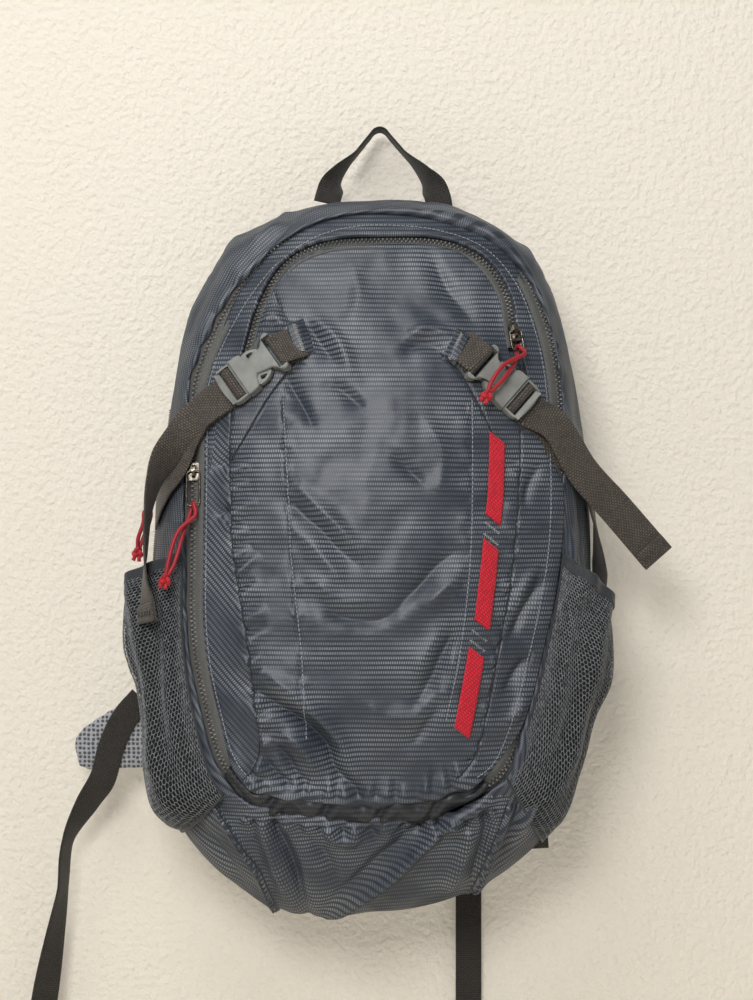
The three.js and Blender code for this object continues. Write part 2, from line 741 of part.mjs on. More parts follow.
/** Group of a buckle that lies on the front, from its sewn bar towards its lip. */
function frontBuckle(bar, lip) {
  const origin = onFront(...bar, BUCKLE_LIFT);
  const end = onFront(...lip, BUCKLE_LIFT);
  const out = outOfFront((bar[0] + lip[0]) / 2, (bar[1] + lip[1]) / 2);
  return placed(origin, end.sub(origin), out);
}

/** Adds a whole buckle to a group: socket, plug and the plug's two arms. */
function addBuckle(group, prefix, size, names = ["upper", "lower"]) {
  add(`${prefix}_socket`, buckleSocket(size), PLASTIC_GREY, group);
  addPlug(group, prefix, size, names);
}

/** Adds a plug and its two arms to a group. */
function addPlug(group, prefix, size, names) {
  add(`${prefix}_plug`, bucklePlug(size), PLASTIC_GREY, group);
  add(`${prefix}_arm_${names[0]}`, buckleArm(size, 1), PLASTIC_GREY, group);
  add(`${prefix}_arm_${names[1]}`, buckleArm(size, -1), PLASTIC_GREY, group);
}

/** Left strap: its tail falls over the side and hangs edge-on in front of the pocket. */
function leftCompression() {
  const group = frontBuckle([-72.8, -179.1], [-110.3, -207.4]);
  addBuckle(group, "left_buckle", 1);
  add("left_tab", barLoop(
    group, 1, [onFront(-55.5, -171.6, 3.8)], [onFront(-57, -172.8, 1.7)], WEB, WEB_THICK,
  ), WEB_BROWN);
  const inward = [
    sideMark(179, 0.9, 1.6, [-0.1, 0.8, -0.6]),
    sideMark(174.5, 0.8, 2.4, [-0.2, 0.7, -0.7]),
    sideMark(169, 0.6, 4, [-0.5, 0.4, -0.75]),
    sideMark(163.5, 0.36, 5, [-0.75, 0.1, -0.66]),
    frontMark(-130, -228.5, 5.4, [-0.75, 0.1, -0.66]),
  ];
  const outward = [
    frontMark(-126, -224.5, 8.4, [-0.75, 0.1, -0.66]),
    sideMark(163.5, 0.33, 8.8, [-0.75, 0.1, -0.66]),
    mark(V(-159, -98, -262), [0.5, 0.75, -0.45]),
    mark(V(-166, -102, -288), [0.1, 0.99, -0.1]),
    mark(V(-168, -110, -322), [-0.05, 1, 0]),
    mark(V(-169, -117, -350), [-0.05, 1, 0]),
    mark(V(-169.5, -120, -370), [-0.35, 0.93, 0]),
  ];
  add("left_compression_strap",
    ladderWeb(group, ladderOf(1), WEB, WEB_THICK, inward, outward), WEB_BROWN);
}

/** Right strap: its tail stands stiffly out past the side of the bag. */
function rightCompression() {
  const group = frontBuckle([70.8, -186.8], [105.2, -218.9]);
  addBuckle(group, "right_buckle", 1);
  add("right_tab", barLoop(
    group, 1, [onFront(56.5, -172.5, 3.8)], [onFront(57.8, -174, 1.7)], WEB, WEB_THICK,
  ), WEB_BROWN);
  const inward = [
    mark(V(162.5, -34, -364), [-0.3, 0.95, 0]),
    mark(V(164, -42, -335), [-0.3, 0.95, 0.1]),
    sideMark(1, 0.82, 4, [0.1, 0.5, -0.85]),
    sideMark(8.5, 0.62, 3.6, [0.55, 0.35, -0.75]),
    sideMark(13, 0.36, 4.4, [0.7, 0.1, -0.7]),
    sideMark(18, 0.06, 6.6, [0.7, 0.1, -0.7]),
  ];
  const outward = [
    frontMark(120, -232, 8.6, [0.73, 0.1, -0.68]),
    mark(V(145, -101, -264), [0.68, 0.25, 0.7]),
    mark(V(170, -92, -291), [0.68, 0.1, 0.72]),
    mark(V(201, -84, -326), [0.68, 0, 0.73]),
  ];
  add("right_compression_strap",
    ladderWeb(group, ladderOf(1), WEB, WEB_THICK, inward, outward), WEB_BROWN);
}

/** Red daisy strip down the right of the front, raised in its three open lengths. */
function lashStrip() {
  const top = [77, -240];
  const foot = [57, -446];
  const heading = [foot[0] - top[0], 0, foot[1] - top[1]];
  const steps = 16;
  const stations = Array.from({ length: steps + 1 }, (_, i) => frontMark(
    mix(top[0], foot[0], i / steps), mix(top[1], foot[1], i / steps), 1.7, heading,
  ));
  return ribbon(stations, 11, 1.4);
}

// ---------------------------------------------------------------- zip sliders and pulls

const SLIDER_TOP = COIL_TOP + GAP + 2.1;
const BRIDGE_HOLE = SLIDER_TOP + 2.6;

/** Slider: a tapered plate over the coil, flanges beside it and a bridge for the pull. */
function zipSlider(size = 1) {
  const plan = new THREE.Path();
  plan.moveTo(-6.5, 0);
  plan.lineTo(-6.5, 3.4);
  plan.quadraticCurveTo(-5.5, 4.7, -2, 4.7);
  plan.lineTo(3, 4.7);
  plan.quadraticCurveTo(6.5, 4.5, 6.8, 3);
  plan.lineTo(6.8, 0);
  const plateLow = COIL_TOP + GAP;
  const plate = slab(mirrored(plan), SLIDER_TOP - plateLow, 0.4);
  plate.translate(0, 0, (SLIDER_TOP + plateLow) / 2);
  const side = new THREE.Shape();
  side.moveTo(-4.6, -0.3);
  side.lineTo(-4.6, 1.6);
  side.quadraticCurveTo(-4, 5.1, 0, 5.1);
  side.quadraticCurveTo(4, 5.1, 4.6, 1.6);
  side.lineTo(4.6, -0.3);
  const hole = new THREE.Path();
  hole.absarc(0, 2.6, 1.45, 0, 2 * Math.PI);
  side.holes.push(hole);
  const bridge = slab(side, 2.2).rotateX(Math.PI / 2).translate(0, 0, SLIDER_TOP);
  const slider = solid(plate)
    .add(solid(block([-5, 3.45, -0.1], [5, 4.5, SLIDER_TOP - 0.5])))
    .add(solid(block([-5, -4.5, -0.1], [5, -3.45, SLIDER_TOP - 0.5])))
    .add(solid(bridge));
  return shown(slider).scale(1, size, 1);
}

/** Wire pull: a rounded oblong of wire through the slider's bridge. */
function wirePull(length, half = 4.6, corner = 2.3) {
  const stations = [];
  const corners = [[corner, 1, 180], [length - corner, 1, 90], [length - corner, -1, 0],
    [corner, -1, -90]];
  for (const [x, side, start] of corners) {
    for (const step of [0, 45, 90]) {
      const turn = THREE.MathUtils.degToRad(start - step);
      stations.push({
        p: V(x + corner * Math.cos(turn), side * (half - corner) + corner * Math.sin(turn), 0),
        w: V(0, 0, 1),
      });
    }
  }
  return sweep(stations, round(WIRE_R, 6), true).translate(0, 0, BRIDGE_HOLE);
}

/** Pull cord: one length of cord through the wire, its two strands tied in a knot. */
function pullCord(group, length, front, back, knot) {
  const bend = WIRE_R + GAP + CORD_R;
  const w = turned(group, 0, 1, 0);
  const round180 = [90, 135, 180, 225, 270].map((degrees, i) => {
    const turn = THREE.MathUtils.degToRad(degrees);
    const aside = mix(1.2, -1.2, i / 4);
    return {
      p: from(group, length + bend * Math.cos(turn), aside, BRIDGE_HOLE + bend * Math.sin(turn)),
      w,
    };
  });
  const strand = (points) => points.map((p) => ({ p, w }));
  const stations = [
    ...smooth(strand([knot.clone().lerp(front[0], 0.12), ...front]), 8), ...round180,
    ...smooth(strand([...back, knot.clone().lerp(back.at(-1), 0.12)]), 8),
  ];
  const tube = solid(sweep(stations, round(CORD_R, 8)));
  const ball = new THREE.SphereGeometry(4.7, 8, 6).scale(1, 0.9, 1.25);
  return shown(tube.add(solid(ball.translate(...knot.toArray()))));
}

const STRAIGHT_DOWN = V(0, -RIM_SLOPE, -1);

/** Main slider, on the straight left side of the main zip. */
function mainSlider() {
  const z = -264;
  const origin = V(ZIP_STRAIGHT_X, BACK_Y - rimDepth(z), z);
  const group = placed(origin, STRAIGHT_DOWN, V(0, -1, 0));
  const length = 25;
  add("main_slider", zipSlider(), NICKEL, group);
  add("main_pull", wirePull(length), NICKEL, group);
  add("main_pull_cord", pullCord(group, length,
    [V(-149.5, -118, -330), V(-142.5, -113, -306), from(group, length + 6, 2.4, 9.2)],
    [from(group, length + 6, -2.4, 4.4), V(-139, -108, -306), V(-145.5, -115.5, -330)],
    V(-151, -119, -340)), CORD_RED);
}

/** Front pocket's slider, near the right end of its zip. */
function frontSlider() {
  const z = -165;
  const share = (z - FRONT_LEG.top[1]) / (FRONT_LEG.end[1] - FRONT_LEG.top[1]);
  const x = mix(FRONT_LEG.top[0], FRONT_LEG.end[0], share);
  const onLeg = ([px, pz]) => onFront(px, pz, -0.7);
  const along = onLeg(FRONT_LEG.end).sub(onLeg(FRONT_LEG.top));
  const group = placed(onFront(x, z, 0), along, V(0.15, -1, 0));
  const length = 14;
  add("front_slider", zipSlider(SMALL), NICKEL, group);
  add("front_pull", wirePull(length, 4.2, 2), NICKEL, group);
  add("front_pull_cord", pullCord(group, length,
    [onFront(77, -203, 19), onFront(86, -190, 18), from(group, length + 4, 3.4, 11.5)],
    [from(group, length + 4.5, -1.5, 5.6), onFront(89, -196, 16.5), onFront(80, -206, 18.5)],
    onFront(74.4, -210.9, 19)), CORD_RED);
}

// Reservoir pocket's zip, straight down the left side just in front of the back panel.
const REAR_ZIP = { top: V(-158.6, -34, -216), foot: V(-171.2, -34, -326), out: V(-1, -0.15, 0.1) };

/** Rear zip with its slider and pull, which shows only at the bag's edge. */
function rearZip() {
  const { top, foot, out } = REAR_ZIP;
  const along = V(0, 0, 0).subVectors(foot, top);
  const tape = placed(top, along, out);
  const section = zipSection(FRONT_ZIP_HALF, 1);
  const ring = (x) => section.map(([side, high]) => V(x, side, high));
  add("rear_zip", loft([ring(0), ring(along.length())]), ZIP_BROWN, tape);
  const group = placed(top.clone().addScaledVector(along, 0.58), along, out);
  const length = 15;
  const fixedRing = solid(zipSlider())
    .add(solid(wirePull(length)))
    .add(solid(block([-1.6, -1.1, BRIDGE_HOLE - 1], [1.6, 1.1, BRIDGE_HOLE + 1])));
  add("rear_slider", shown(fixedRing), NICKEL, group);
  add("rear_pull_cord", pullCord(group, length,
    [from(group, length + 20, 1.4, 11.5), from(group, length + 7, 2, 9)],
    [from(group, length + 7, -2, 4.6), from(group, length + 20, -1.4, 8)],
    from(group, length + 30, 0, 10.5)), CORD_RED);
}

// ---------------------------------------------------------------- back and harness

/** Cushion with a crown, drawn-in sides and a flat back, seen along Y. */
function cushion({ x, z, halfX, halfZ, squareness, base, rise, channels = 0, around = 28 }) {
  const shares = [[0.93, 0], [1, 0.3], [0.97, 0.62], [0.82, 0.9], [0.45, 1]];
  const rounded = (share) => Math.sign(share) * Math.abs(share) ** (2 / squareness);
  const profiles = Array.from({ length: around }, (_, i) => {
    const turn = ((i + 0.5) / around) * 2 * Math.PI;
    const edgeX = halfX * rounded(Math.cos(turn));
    const edgeZ = halfZ * rounded(Math.sin(turn));
    return [
      V(x, base, z),
      ...shares.map(([share, high]) => {
        const inset = (1 - share) * halfX;
        const pz = edgeZ * (1 - inset / halfZ);
        const dip = channels * Math.cos(pz / halfZ * Math.PI * 2.5) ** 8;
        return V(x + edgeX * share, base + rise * high * (1 - dip), z + pz);
      }),
      V(x, base + rise, z),
    ];
  });
  return spun(profiles);
}

const STRAP_TOP_Z = -84;
const STERNUM_X = 57;
const STERNUM_Z = -205;
const RAIL = { top: -165, foot: -245, face: 5.2, neck: 1.5, neckHigh: 2.2, head: 3.2, high: 4 };

/** Shoulder strap: an S-shaped pad with a crowned section and a rail for the sternum slider. */
function shoulderStrap(side) {
  const across = V(side, 0, 0);
  const route = [
    [43, -16.2, STRAP_TOP_Z, 0.82], [45, -9, -108, 0.9], [50, -1.5, -142, 1],
    [56, 0, -180, 1.03], [59, 0, -215, 1.03], [66, 0, -255, 1], [77, 0, -300, 0.92],
    [88, 0, -345, 0.84], [95, 0, -394, 0.76],
  ];
  const curve = new THREE.CatmullRomCurve3(route.map(([x, y, z]) => V(x * side, y, z)));
  const section = [
    [-30, -2.2], [-21, -4.8], [0, -5.4], [21, -4.8], [30, -2.2],
    [30, 2.2], [21, 4.8], [0, 5.4], [-21, 4.8], [-30, 2.2],
  ];
  const steps = 16;
  const stations = Array.from({ length: steps + 1 }, (_, i) => {
    const place = (i / steps) * (route.length - 1);
    const k = Math.min(Math.floor(place), route.length - 2);
    return {
      p: curve.getPoint(i / steps),
      w: across,
      scale: mix(route[k][3], route[k + 1][3], place - k),
    };
  });
  const x = STERNUM_X * side;
  const { top, foot, face, neck, neckHigh, head, high } = RAIL;
  const rail = solid(block([x - neck, 3, foot], [x + neck, face + neckHigh + 0.1, top]))
    .add(solid(block([x - head, face + neckHigh, foot], [x + head, face + high, top])));
  return shown(solid(sweep(stations, section)).add(rail));
}

/** Sternum slider: a clip whose two lips hold it on the rail. */
function sternumSlider(side) {
  const { face, neck, neckHigh, head, high } = RAIL;
  const low = face + 0.75;
  const lip = face + neckHigh - GAP;
  const profile = [
    [neck + GAP, low], [6.2, low], [6.2, face + high + 2.4], [-6.2, face + high + 2.4],
    [-6.2, low], [-neck - GAP, low], [-neck - GAP, lip], [-head - GAP, lip],
    [-head - GAP, face + high + GAP], [head + GAP, face + high + GAP], [head + GAP, lip],
    [neck + GAP, lip],
  ];
  const shape = new THREE.Shape(profile.map(([px, py]) => new THREE.Vector2(px, py)));
  const clip = slab(shape, 16);
  return clip.translate(STERNUM_X * side, 0, STERNUM_Z);
}

/** Sternum strap: both clips, the buckle between them and the webbing to each side. */
function sternumStrap() {
  const level = 9.6;
  const group = placed(V(-18.8, level, STERNUM_Z), V(1, 0, 0), V(0, 1, 0));
  addBuckle(group, "sternum_buckle", SMALL);
  const sewn = STERNUM_X - 6.2 - GAP;
  const thick = BELT_THICK;
  add("sternum_webbing_left", barLoop(
    group, SMALL, [V(-sewn, level + 1.2, STERNUM_Z)], [V(-sewn, level - 1.2, STERNUM_Z)],
    BELT, thick,
  ), WEB_BROWN);
  const w = [0, 0, -1];
  add("sternum_webbing_right", ladderWeb(group, ladderOf(SMALL), BELT, thick,
    [mark(V(sewn, level - 3.2, STERNUM_Z), w), mark(V(34, level - 3.8, STERNUM_Z), w)],
    [mark(V(34, level, STERNUM_Z - 0.5), w), mark(V(46, level + 3.6, STERNUM_Z - 2), w),
      mark(V(60, level + 4.2, STERNUM_Z - 4), w), mark(V(80, level + 3, STERNUM_Z - 8), w)]), WEB_BROWN);
  add("sternum_slider_left", sternumSlider(-1), PLASTIC_GREY);
  add("sternum_slider_right", sternumSlider(1), PLASTIC_GREY);
}

/** Ladder lock at a shoulder strap's foot. */
function ladderLock() {
  const outline = new THREE.Path();
  outline.moveTo(0, 0);
  outline.lineTo(0, 12.4);
  outline.quadraticCurveTo(0.2, 13.4, 1.4, 13.4);
  outline.lineTo(20, 13.2);
  outline.quadraticCurveTo(23, 12.6, 23.4, 9);
  outline.lineTo(23.8, 0);
  const slot = (low, high) => solid(block([low, -10.6, -5], [high, 10.6, 5]));
  const lock = solid(slab(mirrored(outline), 3, 0.5))
    .subtract(slot(2.6, 5.2))
    .subtract(slot(8.2, 11.4))
    .subtract(slot(15, 18.6));
  return shown(lock);
}

const LOCK_LADDER = { bar: 13.2, barR: 2.15, exit: 27 };

/** Adds one side's ladder lock and the webbing from it down to the bag's corner. */
function addLowerWebbing(name, side) {
  const foot = V(95.4 * side, -0.4, -394.6);
  const group = placed(foot, V(0.12 * side, 0, -1), V(0, 1, 0));
  add(`${name}_ladder_lock`, ladderLock(), PLASTIC_GREY, group);
  const w = [-1, 0, 0];
  add(`${name}_lower_webbing`, ladderWeb(group, LOCK_LADDER, BELT, BELT_THICK,
    [mark(V(118 * side, -21, -548), w), mark(V(116 * side, -18, -520), w),
      mark(V(108 * side, -10, -470), w)],
    [mark(V(101 * side, -0.8, -440), w), mark(V(103 * side, 1.5, -480), w)]), WEB_BROWN);
}

// ---------------------------------------------------------------- hip belt

const WING = { top: -440, foot: -490 };

/** Hip wing: a flap of spacer mesh with a rounded end, following a route seen from above. */
function hipWing(route, drop) {
  const section = [[-25, -1.6], [-21, -3.4], [21, -3.4], [25, -1.6], [25, 1.6], [21, 3.4],
    [-21, 3.4], [-25, 1.6]];
  const curve = new THREE.CatmullRomCurve3(route.map(([x, y]) => V(x, y, 0)));
  const steps = 10;
  const stations = Array.from({ length: steps + 1 }, (_, i) => {
    const t = i / steps;
    const p = curve.getPoint(t);
    p.z = (WING.top + WING.foot) / 2 + drop * t;
    return { p, w: V(0, 0, 1), scale: mix(0.96, 0.6, t ** 2) * (t > 0.95 ? 0.72 : 1) };
  });
  return sweep(stations, section);
}

/** Left wing, which sticks out past the bag, and its webbing with the plug half. */
function leftHip() {
  add("left_hip_wing",
    hipWing([[-151, -18.2], [-172, -17], [-200, -16], [-231, -15]], -14), SPACER_GREY);
  const group = placed(V(-266, -6, -752), V(0.06, 0, 1), V(0, -1, 0));
  addPlug(group, "hip_buckle", SMALL, ["left", "right"]);
  add("left_hip_webbing", ladderWeb(group, ladderOf(SMALL), BELT, BELT_THICK, [
    mark(V(-180, -21.9, -434), [0.5, 0, -0.86]),
    mark(V(-193, -21.8, -449), [0.75, 0, -0.66]),
    mark(V(-203, -21.6, -470), [0.97, 0, -0.2]),
    mark(V(-210, -20.6, -495), [0.97, 0, -0.2]),
    mark(V(-222, -16, -514), [0.8, 0.5, -0.3]),
    mark(V(-238, -12, -545), [0.3, 0.95, 0]),
    mark(V(-242, -10, -580), [0.25, 0.97, 0]),
    mark(V(-249, -7, -620), [0.65, 0.75, 0]),
    mark(V(-256, -4, -660), [0.95, 0.3, 0]),
    mark(V(-261, -3, -692), [1, 0, 0]),
  ], [
    mark(V(-262.5, -8, -694), [1, 0, 0]),
    mark(V(-262, -11, -672), [1, 0, 0.1]),
  ]), WEB_BROWN);
}

/** Right wing, folded in behind the bag, and its webbing with the socket half. */
function rightHip() {
  add("right_hip_wing",
    hipWing([[150, -18], [152.5, -6], [144, 4], [120, 8.5], [66, 8.5]], -3), SPACER_GREY);
  const x = 69;
  const y = 14.4;
  const group = placed(V(x, y, -712), V(0, 0, -1), V(0, 1, 0));
  add("hip_buckle_socket", buckleSocket(SMALL), PLASTIC_GREY, group);
  const down = V(-1, 0, 0);
  const upper = [V(x, y - 0.2, -446), V(x, y - 0.2, -490), V(x, y + 0.6, -560), V(x, y, -640),
    V(x, y + 1.6, -690)];
  add("right_hip_webbing", barLoop(
    group, SMALL, smooth(upper.map((p) => ({ p, w: down })), 24).map(({ p }) => p),
    [V(x, y - 1.6, -690)],
    BELT, BELT_THICK,
  ), WEB_BROWN);
}

// ---------------------------------------------------------------- reservoir

const RESERVOIR_BACK = BACK_Y - CLOTH - GAP;
const PORT = { z: -186, y: RESERVOIR_BACK - RESERVOIR.thick - 0.6, neck: 41, bore: 36 };
const OUTLET = { z: -425, high: 13, r: 9, bore: 4.2 };

/** Turned piece that faces the front: radius and standing-out of each point, from the back. */
function turnedFront(outline, x, y, z, segments) {
  const profile = outline.map(([radius, out]) => new THREE.Vector2(radius, -out)).reverse();
  return new THREE.LatheGeometry(profile, segments).translate(x, y, z);
}

/** Water bag with its welded filling port, quarter-turn cap and quick-release outlet. */
function reservoir() {
  const { width, height, thick, top } = RESERVOIR;
  const x = CENTRE.x;
  const bag = cushion({
    x, z: top - height / 2, halfX: width / 2, halfZ: height / 2, squareness: 5,
    base: RESERVOIR_BACK, rise: -thick, around: 32,
  });
  add("reservoir", bag, FILM_BLUE);
  const { z, y, neck, bore } = PORT;
  const ring = [[bore, 0], [neck + 7, 0], [neck + 7, 1.6], [neck, 1.6], [neck, 9], [bore, 9],
    [bore, 0]];
  add("fill_port", turnedFront(ring, x, y, z, 24), CAP_BLUE);
  const lid = [[0, 9.5], [neck + GAP, 9.5], [neck + GAP, 2.2], [CAP_R, 2.2], [CAP_R + 1, 11],
    [CAP_R - 2, 12.5], [0, 12.5]];
  const cap = solid(turnedFront(lid, x, y, z, 24))
    .add(solid(block([x - 36, y - 18, z - 3], [x + 36, y - 12, z + 3])));
  add("reservoir_cap", shown(cap), CAP_BLUE);
  const base = y - 0.2;
  const { high, r } = OUTLET;
  const flange = turnedFront([[0, 0], [16, 0], [16, 1.6], [0, 1.6]], x, base, OUTLET.z, 20);
  const housing = block([x - r, base - high, OUTLET.z - 17], [x + r, base - 1, OUTLET.z + 12]);
  const drill = new THREE.CylinderGeometry(OUTLET.bore, OUTLET.bore, 24, 12);
  drill.rotateX(Math.PI / 2).translate(x, base - 6.3, OUTLET.z - 9);
  const recess = turnedFront(
    [[0, -3], [BUTTON.r + GAP, -3], [BUTTON.r + GAP, 3], [0, 3]], x, base - high, BUTTON.z, 14,
  );
  const outlet = solid(flange).add(solid(housing)).subtract(solid(drill)).subtract(solid(recess));
  add("outlet_port", shown(outlet), PLASTIC_GREY);
  add("link_button", turnedFront(
    [[0, -1], [BUTTON.r, -1], [BUTTON.r, 1.6], [BUTTON.r - 0.8, 2.2], [0, 2.2]],
    x, base - high, BUTTON.z, 14,
  ), CAP_BLUE);
}

const BUTTON = { r: 4.4, z: -419 };

/** Open-topped sleeve that holds the reservoir against the back. */
function reservoirSleeve() {
  const wall = 1.2;
  const top = -262;
  const foot = -486;
  const halfTop = 104;
  const front = BACK_Y - 45;
  const section = (inset) => [
    [-1, RESERVOIR_BACK], [-1, -50], [-0.93, front + inset], [0.93, front + inset], [1, -50],
    [1, RESERVOIR_BACK],
  ].map(([side, y]) => [side * (halfTop - inset), y]);
  const rows = [top, -360, -440, foot];
  const grid = (inset) => rows.map((z, i) => section(inset).map(([x, y]) => {
    const narrowing = i === rows.length - 1 ? 0.86 : 1;
    return V(CENTRE.x + x * narrowing, y, z);
  }));
  const closing = (inset) => section(inset).map(([x]) => V(
    CENTRE.x + x * 0.82, RESERVOIR_BACK, foot - 8 + inset,
  ));
  return sheet([...grid(0), closing(0)], [...grid(wall), closing(wall)]);
}

add("rear_body", rearBody(), CLOTH_BLUE);
leftCompression();
rightCompression();
add("lash_strip", lashStrip(), CORD_RED);
mainSlider();
frontSlider();
rearZip();
for (const [name, side] of [["left", -1], ["right", 1]]) {
  add(`${name}_back_pad`, cushion({
    x: 54 * side, z: -318, halfX: 40, halfZ: 192, squareness: 4,
    base: BACK_Y + GAP, rise: 11, channels: 0.3,
  }), FOAM_BLACK);
  add(`${name}_shoulder_strap`, shoulderStrap(side), FOAM_BLACK);
  addLowerWebbing(name, side);
}
sternumStrap();
leftHip();
rightHip();
reservoir();
add("reservoir_sleeve", reservoirSleeve(), CLOTH_BLUE);
add("front_panel", frontPanel(), CLOTH_BLUE);
add("front_pocket_panel", frontPocketPanel(), CLOTH_BLUE);
add("main_zip", mainZip(), ZIP_BROWN);
add("front_zip", frontZip(), ZIP_BROWN);
add("left_mesh_pocket", meshPocket(SIDE_POCKETS.left), MESH_BLACK);
add("right_mesh_pocket", meshPocket(SIDE_POCKETS.right), MESH_BLACK);
add("haul_loop", haulLoop(), WEB_BROWN);

export default pack;
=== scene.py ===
"""Looks of a hydration daypack that hangs by its haul loop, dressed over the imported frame.

Sizes are in millimetres until a mesh is made. The front faces -Y and +X is to the right for
someone who looks at the front. The origin is the inner top of the haul loop.
"""

import sys
import logging
import math
from collections.abc import Callable, Sequence
from dataclasses import dataclass
from functools import partial

import bmesh
import bpy
import numpy as np
from bpy.types import ID, Material, Mesh, Modifier, Node, NodeSocket, NodeTree, Object, World
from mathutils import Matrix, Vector
from mathutils.bvhtree import BVHTree


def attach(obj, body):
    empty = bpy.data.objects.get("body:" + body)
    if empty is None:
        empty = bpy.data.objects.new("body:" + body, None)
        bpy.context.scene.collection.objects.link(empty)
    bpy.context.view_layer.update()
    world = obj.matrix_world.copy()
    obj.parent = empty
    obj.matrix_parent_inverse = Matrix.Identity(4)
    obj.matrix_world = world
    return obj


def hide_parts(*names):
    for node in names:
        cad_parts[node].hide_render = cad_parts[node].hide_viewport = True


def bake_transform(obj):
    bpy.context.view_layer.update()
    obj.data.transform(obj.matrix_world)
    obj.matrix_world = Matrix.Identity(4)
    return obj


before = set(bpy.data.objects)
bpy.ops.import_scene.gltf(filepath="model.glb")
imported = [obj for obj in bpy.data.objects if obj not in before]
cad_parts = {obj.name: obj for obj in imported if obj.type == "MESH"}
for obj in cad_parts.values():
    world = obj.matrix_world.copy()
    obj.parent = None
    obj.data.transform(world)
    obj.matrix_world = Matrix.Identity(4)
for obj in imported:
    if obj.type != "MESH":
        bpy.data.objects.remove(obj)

Array = np.ndarray
Num = float | Array
log = logging.getLogger("daypack")
MM = 0.001
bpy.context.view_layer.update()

# ---------------------------------------------------------------- curves and frames


def unit(v: Array) -> Array:
    """Vectors scaled to length one."""
    v = np.asarray(v, float)
    return v / np.maximum(np.linalg.norm(v, axis=-1, keepdims=True), 1e-12)


def mix(a: Num, b: Num, t: Num) -> Num:
    """Linear blend of two values or arrays."""
    return a + (b - a) * t


def bump(t: Array, low: float, high: float) -> Array:
    """Smooth step from 0 at low to 1 at high."""
    x = np.clip((np.asarray(t, float) - low) / (high - low), 0, 1)
    return x * x * (3 - 2 * x)


def spline_at(marks: Array, t: Array, closed: bool = False) -> Array:
    """Points of a centripetal Catmull-Rom curve through marks.

    Args:
        marks: the points that it goes through, one a row.
        t: places from 0 to 1, in equal shares of the marks.
        closed: whether the last mark leads back to the first.
    Returns:
        One point for each place.
    """
    p = np.asarray(marks, float)
    n = len(p)
    place = np.asarray(t, float) * (n if closed else n - 1)
    k = np.clip(np.floor(place).astype(int), 0, n - 1 if closed else n - 2)
    if closed:
        q = [p[(k + i) % n] for i in (-1, 0, 1, 2)]
    else:
        ends = np.vstack([2 * p[0] - p[1], p, 2 * p[-1] - p[-2]])
        q = [ends[k + i] for i in range(4)]
    d = [np.maximum(np.linalg.norm(b - a, axis=1), 1e-8)[:, None] ** 0.5
         for a, b in zip(q, q[1:])]
    t1 = ((q[1] - q[0]) / d[0] - (q[2] - q[0]) / (d[0] + d[1]) + (q[2] - q[1]) / d[1]) * d[1]
    t2 = ((q[2] - q[1]) / d[1] - (q[3] - q[1]) / (d[1] + d[2]) + (q[3] - q[2]) / d[2]) * d[1]
    w = (place - k)[:, None]
    c2 = -3 * q[1] + 3 * q[2] - 2 * t1 - t2
    c3 = 2 * q[1] - 2 * q[2] + t1 + t2
    return q[1] + w * (t1 + w * (c2 + w * c3))


def lengths_along(points: Array) -> Array:
    """Distance along a polyline up to each of its points."""
    steps = np.linalg.norm(np.diff(points, axis=0), axis=1)
    return np.concatenate([[0], np.cumsum(steps)])


def rows_at(at: Array, s: Array, rows: Array) -> Array:
    """Rows blended at distances, where s is the distance of each row."""
    return np.stack([np.interp(at, s, column) for column in rows.T], 1)


def even_steps(length: float, step: float) -> Array:
    """Distances from 0 to a length, about one step apart."""
    return np.linspace(0, length, max(2, round(length / step)) + 1)


def resample(points: Array, step: float) -> Array:
    """The same polyline with points about one step apart."""
    s = lengths_along(points)
    return rows_at(even_steps(s[-1], step), s, points)


@dataclass
class Route:
    """Places along a strap, each with the direction of the strap's width."""

    points: Array
    widths: Array

    @classmethod
    def through(cls, marks: Sequence[tuple], step: float) -> "Route":
        """A smooth route through given marks of (point, width direction)."""
        p = np.array([m[0] for m in marks], float)
        w = unit(np.array([m[1] for m in marks], float))
        t = np.linspace(0, 1, 40 * len(p))
        fine = spline_at(p, t)
        s = lengths_along(fine)
        t = np.interp(even_steps(s[-1], step), s, t)
        place = t * (len(p) - 1)
        k = np.minimum(place.astype(int), len(p) - 2)
        widths = unit(mix(w[k], w[k + 1], (place - k)[:, None]))
        return cls(spline_at(p, t), widths)

    def joined(self, *others: "Route") -> "Route":
        """This route and others, one after the other."""
        parts = [self, *others]
        return Route(np.vstack([r.points for r in parts]), np.vstack([r.widths for r in parts]))

    def smoothed(self, step: float) -> "Route":
        """The same route with rounder corners and points one step apart."""
        t = np.linspace(0, 1, 12 * len(self.points))
        both = np.hstack([self.points, self.widths * 8])
        fine = spline_at(both, t)
        s = lengths_along(fine[:, :3])
        fine = rows_at(even_steps(s[-1], step), s, fine)
        return Route(fine[:, :3], unit(fine[:, 3:]))

    def axes(self) -> tuple[Array, Array]:
        """Directions across the strap and out of its face, at each point."""
        along = unit(np.gradient(self.points, axis=0))
        across = self.widths - along * np.sum(self.widths * along, 1, keepdims=True)
        across = unit(across)
        return across, unit(np.cross(along, across))


@dataclass
class Frame:
    """A place with its x axis along one direction and its z axis out along another."""

    origin: Sequence[float]
    x: Sequence[float]
    out: Sequence[float]

    def __post_init__(self) -> None:
        """Squares the axes."""
        self.origin = np.asarray(self.origin, float)
        self.x = unit(self.x)
        out = np.asarray(self.out, float)
        self.out = unit(out - self.x * np.dot(out, self.x))
        self.y = np.cross(self.out, self.x)

    def at(self, x: float, y: float, z: float) -> Array:
        """A point of this frame, in the pack's frame."""
        return self.origin + self.x * x + self.y * y + self.out * z


# ---------------------------------------------------------------- meshes


def placed(name: str, data: ID) -> Object:
    """A new object in the scene."""
    obj = bpy.data.objects.new(name, data)
    bpy.context.scene.collection.objects.link(obj)
    return obj


